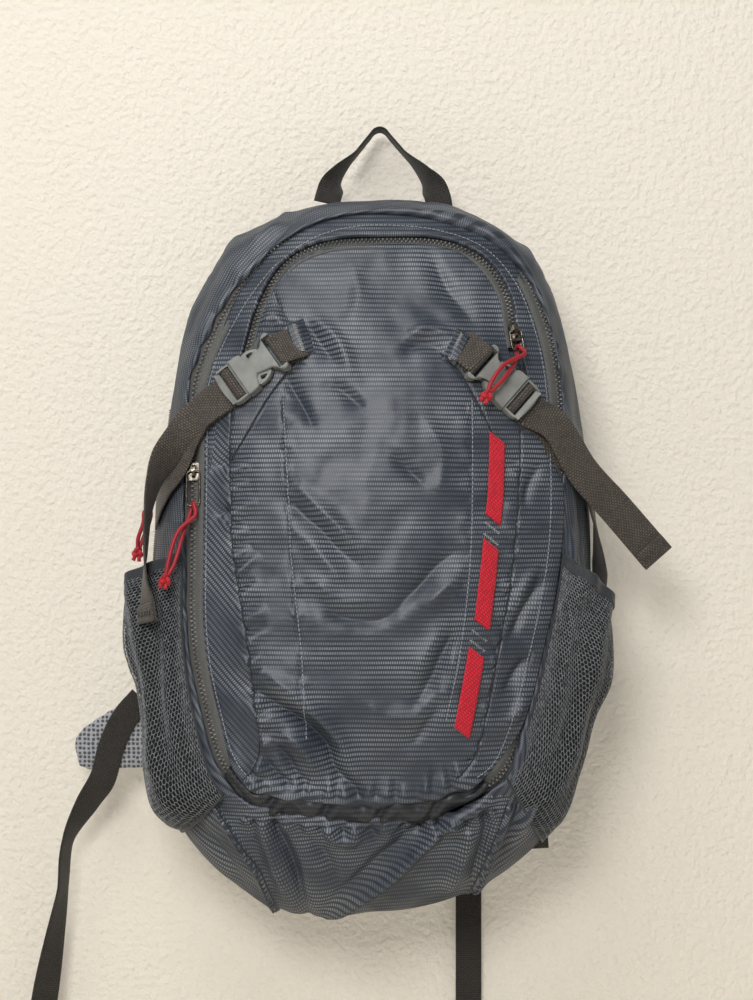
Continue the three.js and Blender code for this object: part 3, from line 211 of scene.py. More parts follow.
def link(name: str, mesh: Mesh, material: Material) -> Object:
    """Puts a mesh in the scene as one smooth-shaded piece."""
    obj = placed(name, mesh)
    mesh.materials.append(material)
    mesh.polygons.foreach_set("use_smooth", np.ones(len(mesh.polygons), bool))
    return obj


def make_mesh(name: str, points: Array, faces: Sequence, material: Material,
              grain: Array | None = None) -> Object:
    """Makes a piece from points in millimetres.

    Args:
        name: the piece's name.
        points: its points.
        faces: its faces, as point numbers.
        material: its finish.
        grain: cloth coordinates in millimetres, one pair for each corner of each face.
    Returns:
        The new piece.
    """
    mesh = bpy.data.meshes.new(name)
    mesh.from_pydata((np.asarray(points, float) * MM).tolist(), [], [list(f) for f in faces])
    if grain is not None:
        layer = mesh.uv_layers.new(name="grain")
        layer.data.foreach_set("uv", np.asarray(grain, np.float32).ravel())
    mesh.validate()
    mesh.update()
    return link(name, mesh, material)


def grid(down: Array, across: Array) -> list[Array]:
    """Each value of down at every value of across, as two grids."""
    return np.meshgrid(down, across, indexing="ij")


def grid_faces(rows: int, columns: int, wrap: bool = False) -> Array:
    """Quads of a grid of points, whose last column may lead back to its first."""
    r, c = grid(np.arange(rows - 1), np.arange(columns if wrap else columns - 1))
    d = (c + 1) % columns
    quads = np.stack([r * columns + c, r * columns + d, (r + 1) * columns + d,
                      (r + 1) * columns + c], -1)
    return quads.reshape(-1, 4)


def grid_grain(u: Array, v: Array, turn: float = 0.0) -> Array:
    """Corner coordinates of a grid's quads, turned by some degrees.

    Args:
        u: cloth coordinate of each grid point; one more column than points where it wraps.
        v: the other coordinate.
        turn: degrees between the grid and the cloth's grain.
    Returns:
        Four pairs for each quad.
    """
    a = math.radians(turn)
    uv = np.stack([u * math.cos(a) - v * math.sin(a), u * math.sin(a) + v * math.cos(a)], -1)
    return np.stack([uv[:-1, :-1], uv[:-1, 1:], uv[1:, 1:], uv[1:, :-1]], 2).reshape(-1, 2)


def wrapped(points: Array, wrap: bool) -> Array:
    """A grid with its first column again at its end, where it wraps."""
    return np.concatenate([points, points[:, :1]], 1) if wrap else points


def grid_piece(name: str, points: Array, material: Material,
               wrap: bool = False, grain: Array | None = None) -> Object:
    """Makes a sheet from a grid of points, with its cloth coordinates in millimetres.

    Args:
        name: the piece's name.
        points: the grid, as rows x columns x 3.
        material: its finish.
        wrap: whether its last column leads back to its first.
        grain: cloth coordinates of each face's corners where they don't follow the front view.
    Returns:
        The new piece.
    """
    rows, columns = points.shape[:2]
    if grain is None:
        flat = wrapped(points, wrap)
        grain = grid_grain(flat[..., 0], flat[..., 2])
    return make_mesh(name, points.reshape(-1, 3), grid_faces(rows, columns, wrap), material,
                     grain)


def along_grain(points: Array, wrap: bool = False, turn: float = 0.0) -> Array:
    """Cloth coordinates that follow a grid of points round a curved surface."""
    du = np.linalg.norm(np.diff(wrapped(points, wrap), axis=1), axis=2).mean(0)
    dv = np.linalg.norm(np.diff(points, axis=0), axis=2).mean(1)
    u, v = np.meshgrid(np.concatenate([[0], np.cumsum(du)]),
                       np.concatenate([[0], np.cumsum(dv)]))
    return grid_grain(u, v, turn)


def sweep(name: str, route: Route, section: Array, material: Material,
          closed: bool = False) -> Object:
    """Sweeps a closed section along a route.

    Args:
        name: the piece's name.
        route: the centre line and the width directions.
        section: points of (across, out), in order round the section.
        material: its finish.
        closed: whether the route's end leads back to its start.
    Returns:
        The new piece, capped at its ends unless closed.
    """
    across, out = route.axes()
    count, size = len(route.points), len(section)
    rings = (route.points[:, None] + across[:, None] * section[None, :, :1]
             + out[:, None] * section[None, :, 1:])
    v = lengths_along(route.points)
    around = lengths_along(np.vstack([section, section[:1]])) - 2 * abs(section[0, 0])
    u, vv = np.meshgrid(around, v)
    grain = grid_grain(u, vv)
    faces = [list(q) for q in grid_faces(count, size, True)]
    if closed:
        last = (count - 1) * size
        faces += [[last + s, last + (s + 1) % size, (s + 1) % size, s] for s in range(size)]
        grain = np.vstack([grain, np.zeros((4 * size, 2))])
    else:
        first = list(range(size))
        faces += [first[::-1], [(count - 1) * size + s for s in first]]
        grain = np.vstack([grain, section[::-1], section + [0, v[-1]]])
    return make_mesh(name, rings.reshape(-1, 3), faces, material, grain)


def web_section(width: float, thick: float) -> Array:
    """Section of flat webbing with soft edges, points running once round it."""
    s, t = width / 2, thick / 2
    top = np.linspace(-s + t, s - t, 7)
    upper = np.stack([top, np.full(7, t)], 1)
    right = [[s - 0.25 * t, 0.55 * t], [s, 0], [s - 0.25 * t, -0.55 * t]]
    half = np.vstack([upper, right])
    return np.vstack([half, -half])


def round_section(radius: float, sides: int) -> Array:
    """Round section of a wire or cord."""
    a = np.linspace(0, 2 * math.pi, sides, endpoint=False)
    return radius * np.stack([np.cos(a), np.sin(a)], 1)


def add_modifier(obj: Object, kind: str, **settings) -> Modifier:
    """Adds a modifier with its settings."""
    modifier = obj.modifiers.new(kind.lower(), kind)
    for key, value in settings.items():
        setattr(modifier, key, value)
    return modifier


def thicken(obj: Object, thick: float, offset: float = -1) -> None:
    """Gives a sheet its thickness in millimetres, inward unless the offset says otherwise."""
    add_modifier(obj, "SOLIDIFY", thickness=thick * MM, offset=offset)


def apply_modifiers(obj: Object) -> None:
    """Turns a piece's modifiers into its own mesh."""
    graph = bpy.context.evaluated_depsgraph_get()
    graph.update()
    evaluated = obj.evaluated_get(graph)
    mesh = bpy.data.meshes.new_from_object(evaluated, preserve_all_data_layers=True,
                                           depsgraph=graph)
    obj.modifiers.clear()
    obj.data = mesh


def reshape(obj: Object, move: Callable[[Array, Array], Array],
            finer: int = 1) -> None:
    """Subdivides a sheet and moves its points.

    Args:
        obj: the sheet; its mesh is changed.
        move: gives new points from points and normals, all in millimetres.
        finer: levels of subdivision before the move.
    """
    add_modifier(obj, "SUBSURF", levels=finer, render_levels=finer)
    apply_modifiers(obj)
    mesh = obj.data
    count = len(mesh.vertices)
    points, normals = np.empty(count * 3), np.empty(count * 3)
    mesh.vertices.foreach_get("co", points)
    mesh.vertex_normals.foreach_get("vector", normals)
    moved = move(points.reshape(-1, 3) / MM, normals.reshape(-1, 3))
    mesh.vertices.foreach_set("co", (moved * MM).astype(np.float32).ravel())
    mesh.update()


def merge(name: str, parts: Sequence[Object]) -> Object:
    """Joins pieces into one, under a new name."""
    for part in parts:
        if part.modifiers:
            apply_modifiers(part)
    with bpy.context.temp_override(active_object=parts[0], object=parts[0],
                                   selected_objects=list(parts),
                                   selected_editable_objects=list(parts)):
        bpy.ops.object.join()
    parts[0].name = name
    parts[0].data.name = name
    return parts[0]


def settle(obj: Object, held: float, grow: float, pressure: float, cap: float,
           bending: float, frames: int = 20) -> None:
    """Lets a cloth piece find its own folds by simulation, and keeps the result.

    Args:
        obj: the piece; its mesh is changed.
        held: how firmly its points are held, 0 to 1.
        grow: share by which the cloth is cut larger than the space it fills.
        pressure: push from inside.
        cap: the farthest that a point may move, in millimetres.
        bending: stiffness against folding.
        frames: steps of the simulation.
    """
    rest = np.empty(len(obj.data.vertices) * 3)
    obj.data.vertices.foreach_get("co", rest)
    rest = rest.reshape(-1, 3)
    group = obj.vertex_groups.new(name="held")
    group.add(list(range(len(rest))), held, "REPLACE")
    cloth = add_modifier(obj, "CLOTH")
    for key, value in {
            "quality": 5, "mass": 0.25, "tension_stiffness": 25, "compression_stiffness": 25,
            "shear_stiffness": 12, "bending_stiffness": bending, "shrink_min": -grow,
            "shrink_max": -grow, "use_pressure": pressure != 0,
            "uniform_pressure_force": pressure, "vertex_group_mass": "held"}.items():
        setattr(cloth.settings, key, value)
    cloth.settings.effector_weights.gravity = 0
    cloth.collision_settings.use_collision = False
    cloth.point_cache.frame_start = 1
    cloth.point_cache.frame_end = frames
    for step in range(1, frames + 1):
        bpy.context.scene.frame_set(step)
    apply_modifiers(obj)
    bpy.context.scene.frame_set(1)
    now = np.empty(len(rest) * 3)
    obj.data.vertices.foreach_get("co", now)
    move = now.reshape(-1, 3) - rest
    far = np.linalg.norm(move, axis=1, keepdims=True)
    limit = cap * MM
    move *= np.where(far > 1e-9, limit * np.tanh(far / limit) / np.maximum(far, 1e-9), 1)
    obj.data.vertices.foreach_set("co", (rest + move).astype(np.float32).ravel())
    obj.data.update()


def dress(obj: Object, body: str, slot: str, *nodes: str) -> Object:
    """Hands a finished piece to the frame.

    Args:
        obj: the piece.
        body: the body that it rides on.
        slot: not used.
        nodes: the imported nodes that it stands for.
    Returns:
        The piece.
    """
    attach(obj, body)
    if nodes:
        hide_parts(*nodes)
    return obj


# ---------------------------------------------------------------- finishes

CLOTH_IOR, ACETAL_IOR = 1.53, 1.48


def to_linear(code: str) -> tuple[float, float, float, float]:
    """Linear colour of an sRGB hex value."""
    parts = [int(code[i:i + 2], 16) / 255 for i in (1, 3, 5)]
    line = [c / 12.92 if c <= 0.04045 else ((c + 0.055) / 1.055) ** 2.4 for c in parts]
    return (*line, 1.0)


def add_node(tree: NodeTree, kind: str, inputs: dict | None = None,
             **settings) -> Node:
    """Adds a node with its settings and links.

    Args:
        tree: the material's node tree.
        kind: the node's type, without the ShaderNode in front.
        inputs: socket name or number against a value, a node or a node's output.
        settings: properties of the node.
    Returns:
        The new node.
    """
    made = tree.nodes.new("ShaderNode" + kind)
    for key, value in settings.items():
        setattr(made, key, value)
    for key, value in (inputs or {}).items():
        socket = made.inputs[key]
        if isinstance(value, Node):
            tree.links.new(value.outputs[0], socket)
        elif isinstance(value, NodeSocket):
            tree.links.new(value, socket)
        else:
            socket.default_value = value
    return made


def set_stops(ramp: Node, *stops: tuple[float, str]) -> Node:
    """Gives a colour ramp its stops of (place, sRGB colour)."""
    for element, (place, code) in zip(ramp.color_ramp.elements, stops):
        element.position = place
        element.color = to_linear(code)
    return ramp


def fresh_tree(block: Material | World) -> NodeTree:
    """Empty node tree of a new material or world."""
    block.use_nodes = True
    block.node_tree.nodes.clear()
    return block.node_tree


def place_in_mm(add: Callable) -> Node:
    """Place of a point on the piece, in millimetres."""
    return add("VectorMath", {0: add("TexCoord").outputs["Object"], "Scale": 1 / MM},
               operation="SCALE")


@dataclass(frozen=True)
class Finish:
    """A finish: its colours and how they are laid out, made into a material once."""

    name: str

    def material(self) -> Material:
        """The finish's material, made when first asked for."""
        made = bpy.data.materials.get(self.name)
        if made is None:
            made = bpy.data.materials.new(self.name)
            add = partial(add_node, fresh_tree(made))
            add("OutputMaterial", {"Surface": add("BsdfPrincipled", self.shade(add))})
        return made

    def shade(self, add: Callable) -> dict:
        """Builds the finish's nodes.

        Args:
            add: adds a node to the material.
        Returns:
            What goes into each socket of the material's shader.
        """
        raise NotImplementedError


@dataclass(frozen=True)
class WovenCloth(Finish):
    """Nylon dobby: a dark yarn-dyed ground with rows of short upright ticks.

    The ticks are brighter in patches, a painted sheen, where rows show as pale broken
    lines. They are drawn a little farther apart than the real ones, so that they show. The
    face is calendered: its soft gloss makes folds pale on one side and dark on the other.
    """

    ground: str = "#2d333d"
    sheen_float: str = "#8b9197"
    float_dark: str = "#454b55"
    pitch: float = 3.35  # from row to row
    dash: float = 1.6  # one tick and the gap after it
    roughness: float = 0.44
    sheen: float = 0.05

    def shade(self, add: Callable) -> dict:
        """Ground, ticks, the brighter rows as painted sheen, and the relief of all."""
        grain = add("UVMap", uv_map="grain")
        where = place_in_mm(add)
        wide, high = 0.35, 0.31  # small bricks, so that the gaps between ticks can be wide
        dark = to_linear(self.float_dark)
        laid = add("Mapping", {"Vector": grain,
                               "Scale": (wide / self.dash, high / self.pitch, 1)})
        rows = add("TexBrick", {
            "Vector": laid, "Color1": dark, "Color2": dark, "Scale": 1.0, "Mortar Size": 0.09,
            "Mortar Smooth": 0.4, "Brick Width": wide, "Row Height": high,
            "Mortar": to_linear(self.ground)}, offset=0.5)
        patch = add("TexNoise", {
            "Vector": add("Mapping", {"Vector": grain, "Scale": (0.016, 0.034, 1)}),
            "Scale": 1.0, "Detail": 3.0})
        shown = add("MapRange", {0: patch, 1: 0.38, 2: 0.66, 3: 0.05, 4: 0.9})
        tick = add("Math", {0: 1.0, 1: rows.outputs["Fac"]}, operation="SUBTRACT")
        # Ticks in the patches take the pale colour: painted sheen.
        painted_sheen = add("Math", {0: shown, 1: tick}, operation="MULTIPLY")
        lit = add("Mix", {"Factor": painted_sheen, 6: rows, 7: to_linear(self.sheen_float)},
                  data_type="RGBA")
        weave = add("Bump", {"Height": tick, "Strength": 0.3, "Distance": 0.0002})
        creases = add("TexNoise", {"Vector": where, "Scale": 0.032, "Detail": 1.5,
                                   "Roughness": 0.4})
        soft = add("Bump", {"Height": creases, "Normal": weave, "Strength": 0.8,
                            "Distance": 0.007})
        rough = add("MapRange", {0: patch, 3: self.roughness - 0.08, 4: self.roughness + 0.1})
        facing = add("LayerWeight", {"Blend": 0.5}).outputs["Facing"]
        gloss = add("MapRange", {0: facing, 1: 0.35, 2: 0.85, 3: 0.5, 4: 0.04})
        return {"Base Color": lit.outputs[2], "Roughness": rough, "Normal": soft,
                "IOR": CLOTH_IOR, "Specular IOR Level": gloss, "Sheen Weight": self.sheen,
                "Sheen Roughness": 0.4}


@dataclass(frozen=True)
class Webbing(Finish):
    """Polypropylene webbing, woven flat.

    Cross ribs broken by the warp, with a dry matt face. The real ribs are a millimetre apart;
    they are drawn a little coarser so that they show.
    """

    light: str = "#665d52"
    dark: str = "#282320"
    pitch: float = 1.6
    warp: float = 2.4

    def shade(self, add: Callable) -> dict:
        """Ribs from the weft, each broken by the warp."""
        grain = add("UVMap", uv_map="grain")
        where = place_in_mm(add)
        wide, high = 0.5, 0.42
        dark = to_linear(self.dark)
        laid = add("Mapping", {"Vector": grain,
                               "Scale": (wide / self.warp, high / self.pitch, 1)})
        ribs = add("TexBrick", {
            "Vector": laid, "Color1": to_linear(self.light), "Color2": dark, "Scale": 1.0,
            "Mortar Size": 0.09, "Mortar Smooth": 0.6, "Bias": -0.55, "Brick Width": wide,
            "Row Height": high, "Mortar": dark}, offset=0.5)
        fuzz = add("TexNoise", {"Vector": where, "Scale": 0.12, "Detail": 6.0})
        worn = add("MapRange", {0: fuzz, 1: 0.4, 2: 0.75, 3: 0.0, 4: 0.35})
        colour = add("Mix", {"Factor": worn, 6: ribs, 7: dark}, data_type="RGBA")
        relief = add("Math", {0: ribs.outputs["Fac"], 1: -1.0}, operation="MULTIPLY")
        normal = add("Bump", {"Height": relief, "Strength": 0.7, "Distance": 0.0004})
        return {"Base Color": colour.outputs[2], "Roughness": 0.78, "Normal": normal,
                "IOR": 1.49, "Sheen Weight": 0.15, "Sheen Roughness": 0.5}


@dataclass(frozen=True)
class MouldedPlastic(Finish):
    """Acetal, injection moulded in a lightly sparked tool.

    A satin face with a fine orange-peel relief, glossier where straps have rubbed it.
    """

    light: str = "#7f8284"
    dark: str = "#66696c"
    roughness: float = 0.38

    def shade(self, add: Callable) -> dict:
        """Mottled colour, spark relief and rubbed patches."""
        where = place_in_mm(add)
        cloud = add("TexNoise", {"Vector": where, "Scale": 0.09, "Detail": 5.0})
        spark = add("TexNoise", {"Vector": where, "Scale": 2.2, "Detail": 3.0})
        rough = add("MapRange", {0: cloud, 1: 0.3, 2: 0.7, 3: self.roughness + 0.1,
                                 4: self.roughness - 0.06})
        return {"Base Color": set_stops(add("ValToRGB", {0: cloud}), (0.35, self.dark),
                                        (0.7, self.light)),
                "Roughness": rough, "IOR": ACETAL_IOR,
                "Normal": add("Bump", {"Height": spark, "Strength": 0.18,
                                       "Distance": 0.0001})}


@dataclass(frozen=True)
class PlatedZinc(Finish):
    """Die-cast zinc with a dark nickel plating: a warm grey mirror with fine scratches."""

    light: str = "#857d72"
    dark: str = "#35312c"

    def shade(self, add: Callable) -> dict:
        """Plating mottled darker and lighter at random, with fine scratches."""
        where = place_in_mm(add)
        cloud = add("TexNoise", {"Vector": where, "Scale": 0.5, "Detail": 6.0})
        brushed = add("Mapping", {"Vector": where, "Scale": (0.4, 3.0, 3.0),
                                  "Rotation": (0, 0, math.radians(25))})
        scratch = add("TexNoise", {"Vector": brushed, "Scale": 1.0, "Detail": 2.0})
        return {"Base Color": set_stops(add("ValToRGB", {0: cloud}), (0.35, self.dark),
                                        (0.65, self.light)),
                "Metallic": 1.0,
                "Roughness": add("MapRange", {0: scratch, 1: 0.3, 2: 0.8, 3: 0.2, 4: 0.42}),
                "Normal": add("Bump", {"Height": scratch, "Strength": 0.12,
                                       "Distance": 0.00005})}


@dataclass(frozen=True)
class BraidedCord(Finish):
    """Braided polyester cord: fine slanting plaits with a little gloss on each strand."""

    light: str = "#d8202f"
    dark: str = "#a30c1e"
    across: float = 1.2
    along: float = 1.9

    def shade(self, add: Callable) -> dict:
        """Plaits at a slant, as raised lozenges."""
        grain = add("UVMap", uv_map="grain")
        high = 0.9
        dark = to_linear(self.dark)
        laid = add("Mapping", {"Vector": grain, "Rotation": (0, 0, math.radians(32)),
                               "Scale": (1 / self.across, high / self.along, 1)})
        plait = add("TexBrick", {
            "Vector": laid, "Color1": to_linear(self.light), "Color2": dark, "Scale": 1.0,
            "Mortar Size": 0.1, "Mortar Smooth": 1.0, "Bias": -0.2, "Brick Width": 1.0,
            "Row Height": high, "Mortar": dark}, offset=0.5)
        relief = add("Math", {0: plait.outputs["Fac"], 1: -1.0}, operation="MULTIPLY")
        normal = add("Bump", {"Height": relief, "Strength": 0.6, "Distance": 0.0003})
        return {"Base Color": plait, "Roughness": 0.55, "Normal": normal, "IOR": 1.57,
                "Sheen Weight": 0.15, "Sheen Roughness": 0.4}


@dataclass(frozen=True)
class Yarn(Finish):
    """Spun or filament yarn in one shade: stitches, net and bindings."""

    light: str = "#9aa0a6"
    dark: str = "#6e757d"
    roughness: float = 0.7
    size: float = 0.9

    def shade(self, add: Callable) -> dict:
        """Fibres as a fine uneven relief."""
        where = place_in_mm(add)
        fibre = add("TexNoise", {"Vector": where, "Scale": self.size, "Detail": 5.0,
                                 "Roughness": 0.7})
        return {"Base Color": set_stops(add("ValToRGB", {0: fibre}), (0.35, self.dark),
                                        (0.65, self.light)),
                "Roughness": self.roughness, "IOR": CLOTH_IOR,
                "Normal": add("Bump", {"Height": fibre, "Strength": 0.4, "Distance": 0.0003}),
                "Sheen Weight": 0.25, "Sheen Roughness": 0.5}


@dataclass(frozen=True)
class SpacerMesh(Finish):
    """Warp-knit spacer fabric: a matt knit face pierced by rows of small holes."""

    face: str = "#8b92a0"
    hole: str = "#4a505c"
    pitch: float = 3.4

    def shade(self, add: Callable) -> dict:
        """Knit face with dimples where the holes are."""
        where = place_in_mm(add)
        hole = to_linear(self.hole)
        flat = add("VectorMath", {0: where, 1: (1.0, 0.0, 1.0)}, operation="MULTIPLY")
        cells = add("TexVoronoi", {"Vector": flat, "Scale": 1 / self.pitch,
                                   "Randomness": 0.22})
        fuzz = add("TexNoise", {"Vector": where, "Scale": 0.9, "Detail": 5.0})
        edge = add("MapRange", {0: cells.outputs["Distance"], 1: 0.3, 2: 0.44})
        colour = add("Mix", {"Factor": edge, 6: hole, 7: to_linear(self.face)},
                     data_type="RGBA")
        worn = add("MapRange", {0: fuzz, 1: 0.4, 2: 0.8, 3: 0.0, 4: 0.4})
        mottled = add("Mix", {"Factor": worn, 6: colour.outputs[2], 7: hole},
                      data_type="RGBA")
        high = add("Math", {0: edge, 1: fuzz}, operation="ADD")
        normal = add("Bump", {"Height": high, "Strength": 0.7, "Distance": 0.0009})
        return {"Base Color": mottled.outputs[2], "Roughness": 0.88, "Normal": normal,
                "IOR": CLOTH_IOR, "Sheen Weight": 0.3, "Sheen Roughness": 0.5}


@dataclass(frozen=True)
class WaterFilm(Finish):
    """Polyurethane film, welded: clear with a blue cast, glossy and softly wrinkled."""

    tint: str = "#b9d8ea"
    pale: str = "#dcebf4"

    def shade(self, add: Callable) -> dict:
        """Clear film with shallow wrinkles and a cloudy thickness."""
        where = place_in_mm(add)
        wave = add("TexNoise", {"Vector": where, "Scale": 0.05, "Detail": 4.0,
                                "Distortion": 1.2})
        return {"Base Color": set_stops(add("ValToRGB", {0: wave}), (0.3, self.tint),
                                        (0.75, self.pale)),
                "Roughness": 0.16, "IOR": 1.5, "Transmission Weight": 0.7,
                "Normal": add("Bump", {"Height": wave, "Strength": 0.5, "Distance": 0.002})}


PACK_CLOTH = WovenCloth("nylon_dobby_woven")
# The pack's cloth darker and with dimmer rows: painted shade for the strip under the hem.
FLAP_SHADE_CLOTH = WovenCloth("nylon_flap_shade_painted_woven", "#202226", "#494c51", "#2f3236", roughness=0.45)
LINING_CLOTH = WovenCloth("nylon_lining_woven", "#2d333d", "#3d4550", "#353c46",
                          roughness=0.62)
# Near-black sheet under each net: painted shade seen through the holes; the real pocket has none.
NET_SHADE_SHEET = WovenCloth("nylon_net_painted_shade_woven", "#0b0c0e", "#191b1e", "#121315",
                         roughness=0.8)
WEB = Webbing("polypropylene_webbing_woven")
# Darker copy of the webbing: painted shade for the belt's straps, which hang low in shadow; the
# haul loop uses it too.
BELT_WEB = Webbing("polypropylene_belt_webbing_woven", "#3f3932", "#181512")
RED_TAPE = Webbing("polyester_red_tape_woven", "#ee2039", "#a80d22", 2.0)
TAPE = Webbing("polyester_zip_tape_woven", "#6c6c69", "#565653", 1.1)
# The zip tape again, darker: painted shade for the outer half, under the gusset's edge.
SHADE_PAINTED_TAPE = Webbing("polyester_zip_tape_shade_painted_woven", "#5b5a57", "#454442", 1.1)
COIL = MouldedPlastic("polyester_zip_coil_drawn", "#9d9b95", "#716f6a", 0.35)
BUCKLE_GREY = MouldedPlastic("acetal_grey_moulded", "#94958f", "#7d7e7a")
CAP_BLUE = MouldedPlastic("polypropylene_blue_moulded", "#3577b5", "#25598e")
METAL = PlatedZinc("zinc_dark_nickel_plated")
RED_CORD = BraidedCord("polyester_red_braided")
THREAD = Yarn("polyester_thread_grey_spun", "#aab0b5", "#7b828a")
PALE_THREAD = Yarn("polyester_thread_pale_spun", "#d2cdc0", "#9c988c")
# Near-black: along the panel seams it is painted shade; at the folded strap ends it is their
# stitching.
DARK_THREAD = Yarn("polyester_thread_dark_spun", "#191b20", "#101115")
# Speckled from near black to pale grey: painted highlights and painted shade along its threads.
NET = Yarn("polyester_net_knitted", "#999da1", "#151619", 0.4, 0.45)
BINDING = Yarn("nylon_binding_woven", "#33363b", "#222428", size=0.6)
WING_MESH = SpacerMesh("polyester_spacer_grey_knitted", "#b4b5b8", "#50545b")
PAD_MESH = SpacerMesh("polyester_spacer_dark_knitted", "#34373d", "#17191c")
FILM = WaterFilm("polyurethane_film_welded")


# ---------------------------------------------------------------- form of the bag

CENTRE_X, CENTRE_Z = -3.0, -300.0
BACK_Y, VIEW_Y = -22.0, -200.0
RIM_DEPTH, RIM_TOP_Z, RIM_SLOPE = 54.0, -76.0, 0.1
SIDE_POWER = 2.2
FRONT_BULGE, BULGE_POWER = 34.0, 0.8
ZIP_HALF, FRONT_ZIP_HALF = 6.0, 4.0
COIL_HALF, COIL_TOP = 3.0, 1.6
WEB_WIDE, BELT_WIDE = 25.0, 20.0
WEB_THICK, BELT_THICK = 1.5, 1.2
SMALL = BELT_WIDE / WEB_WIDE
GAP = 0.35
CORD_R, WIRE_R = 1.5, 0.9
STITCH_SHARE = 0.74  # of the pitch, the rest being the gap

BODY_MARKS = [
    (0, -61), (42, -67), (82, -88), (116, -113), (132, -148), (144, -190), (151, -235),
    (156, -290), (157, -345), (155, -390), (149, -437), (139, -488), (121, -535), (88, -561),
    (40, -581), (-7, -586), (-71, -588), (-104, -570), (-144, -533), (-161, -484), (-168, -432),
    (-171, -373), (-168, -314), (-162, -262), (-156, -217), (-147, -165), (-135, -131),
    (-113, -99), (-85, -77), (-45, -64),
]
ZIP_STRAIGHT_X = -133.0
ZIP_MARKS = [
    (0, -76), (44, -80), (80, -94), (105, -121), (119, -154), (127, -190), (130, -232),
    (131, -290), (127, -335), (117, -385), (104, -435), (84, -478), (42, -497), (-7, -503),
    (-56, -499), (-90, -492), (-110, -470), (-122, -432), (-130, -395), (-133, -360),
    (-133, -335), (-133, -280), (-133, -230), (-133, -205), (-126, -180), (-113, -152),
    (-96, -125), (-76, -103), (-51, -86), (-25, -78),
]
FRONT_LEG_TOP, FRONT_LEG_END = (91.5, -140.0), (97.0, -176.0)
POCKET_LEFT_END = (-96.0, -183.0)
POCKET_MARKS = [
    (0, -97), (50, -100), (77, -115), FRONT_LEG_TOP, (94.25, -158), FRONT_LEG_END,
    (105, -215), (113, -270), (112, -325), (104, -385), (91, -437), (72, -470), (40, -486),
    (-7, -491), (-56, -487), (-84, -474), (-102, -440), (-113, -390), (-119, -330),
    (-118, -270), (-108, -220), POCKET_LEFT_END, (-84, -142), (-67, -114), (-43, -101),
]

Reach = Callable[[Array], Array]


@dataclass
class Outline:
    """A closed outline of the bag as seen from the front, running clockwise from the top."""

    marks: Sequence[tuple[float, float]]
    count: int = 720

    def __post_init__(self) -> None:
        """Spaces the outline's points evenly."""
        fine = spline_at(np.array(self.marks, float), np.linspace(0, 1, 6000), True)
        s = lengths_along(fine)
        self.points = rows_at(np.linspace(0, s[-1], self.count + 1)[1:], s, fine)

    def moved(self, distance: float) -> Array:
        """The outline moved outward by a distance."""
        along = unit(np.roll(self.points, -1, 0) - np.roll(self.points, 1, 0))
        return self.points + distance * np.stack([-along[:, 1], along[:, 0]], 1)

    def reach(self, distance: float = 0.0) -> Reach:
        """Distance from the bag's centre to the moved outline, at an angle."""
        points = self.moved(distance) - [CENTRE_X, CENTRE_Z]
        angle = np.arctan2(points[:, 1], points[:, 0])
        order = np.argsort(angle)
        radius = np.hypot(points[:, 0], points[:, 1])[order]
        angle = angle[order]
        return lambda a: np.interp(a, angle, radius, period=2 * math.pi)


def angle_of(x: Num, z: Num) -> Array:
    """Angle of a point round the bag's centre."""
    return np.arctan2(np.asarray(z, float) - CENTRE_Z, np.asarray(x, float) - CENTRE_X)


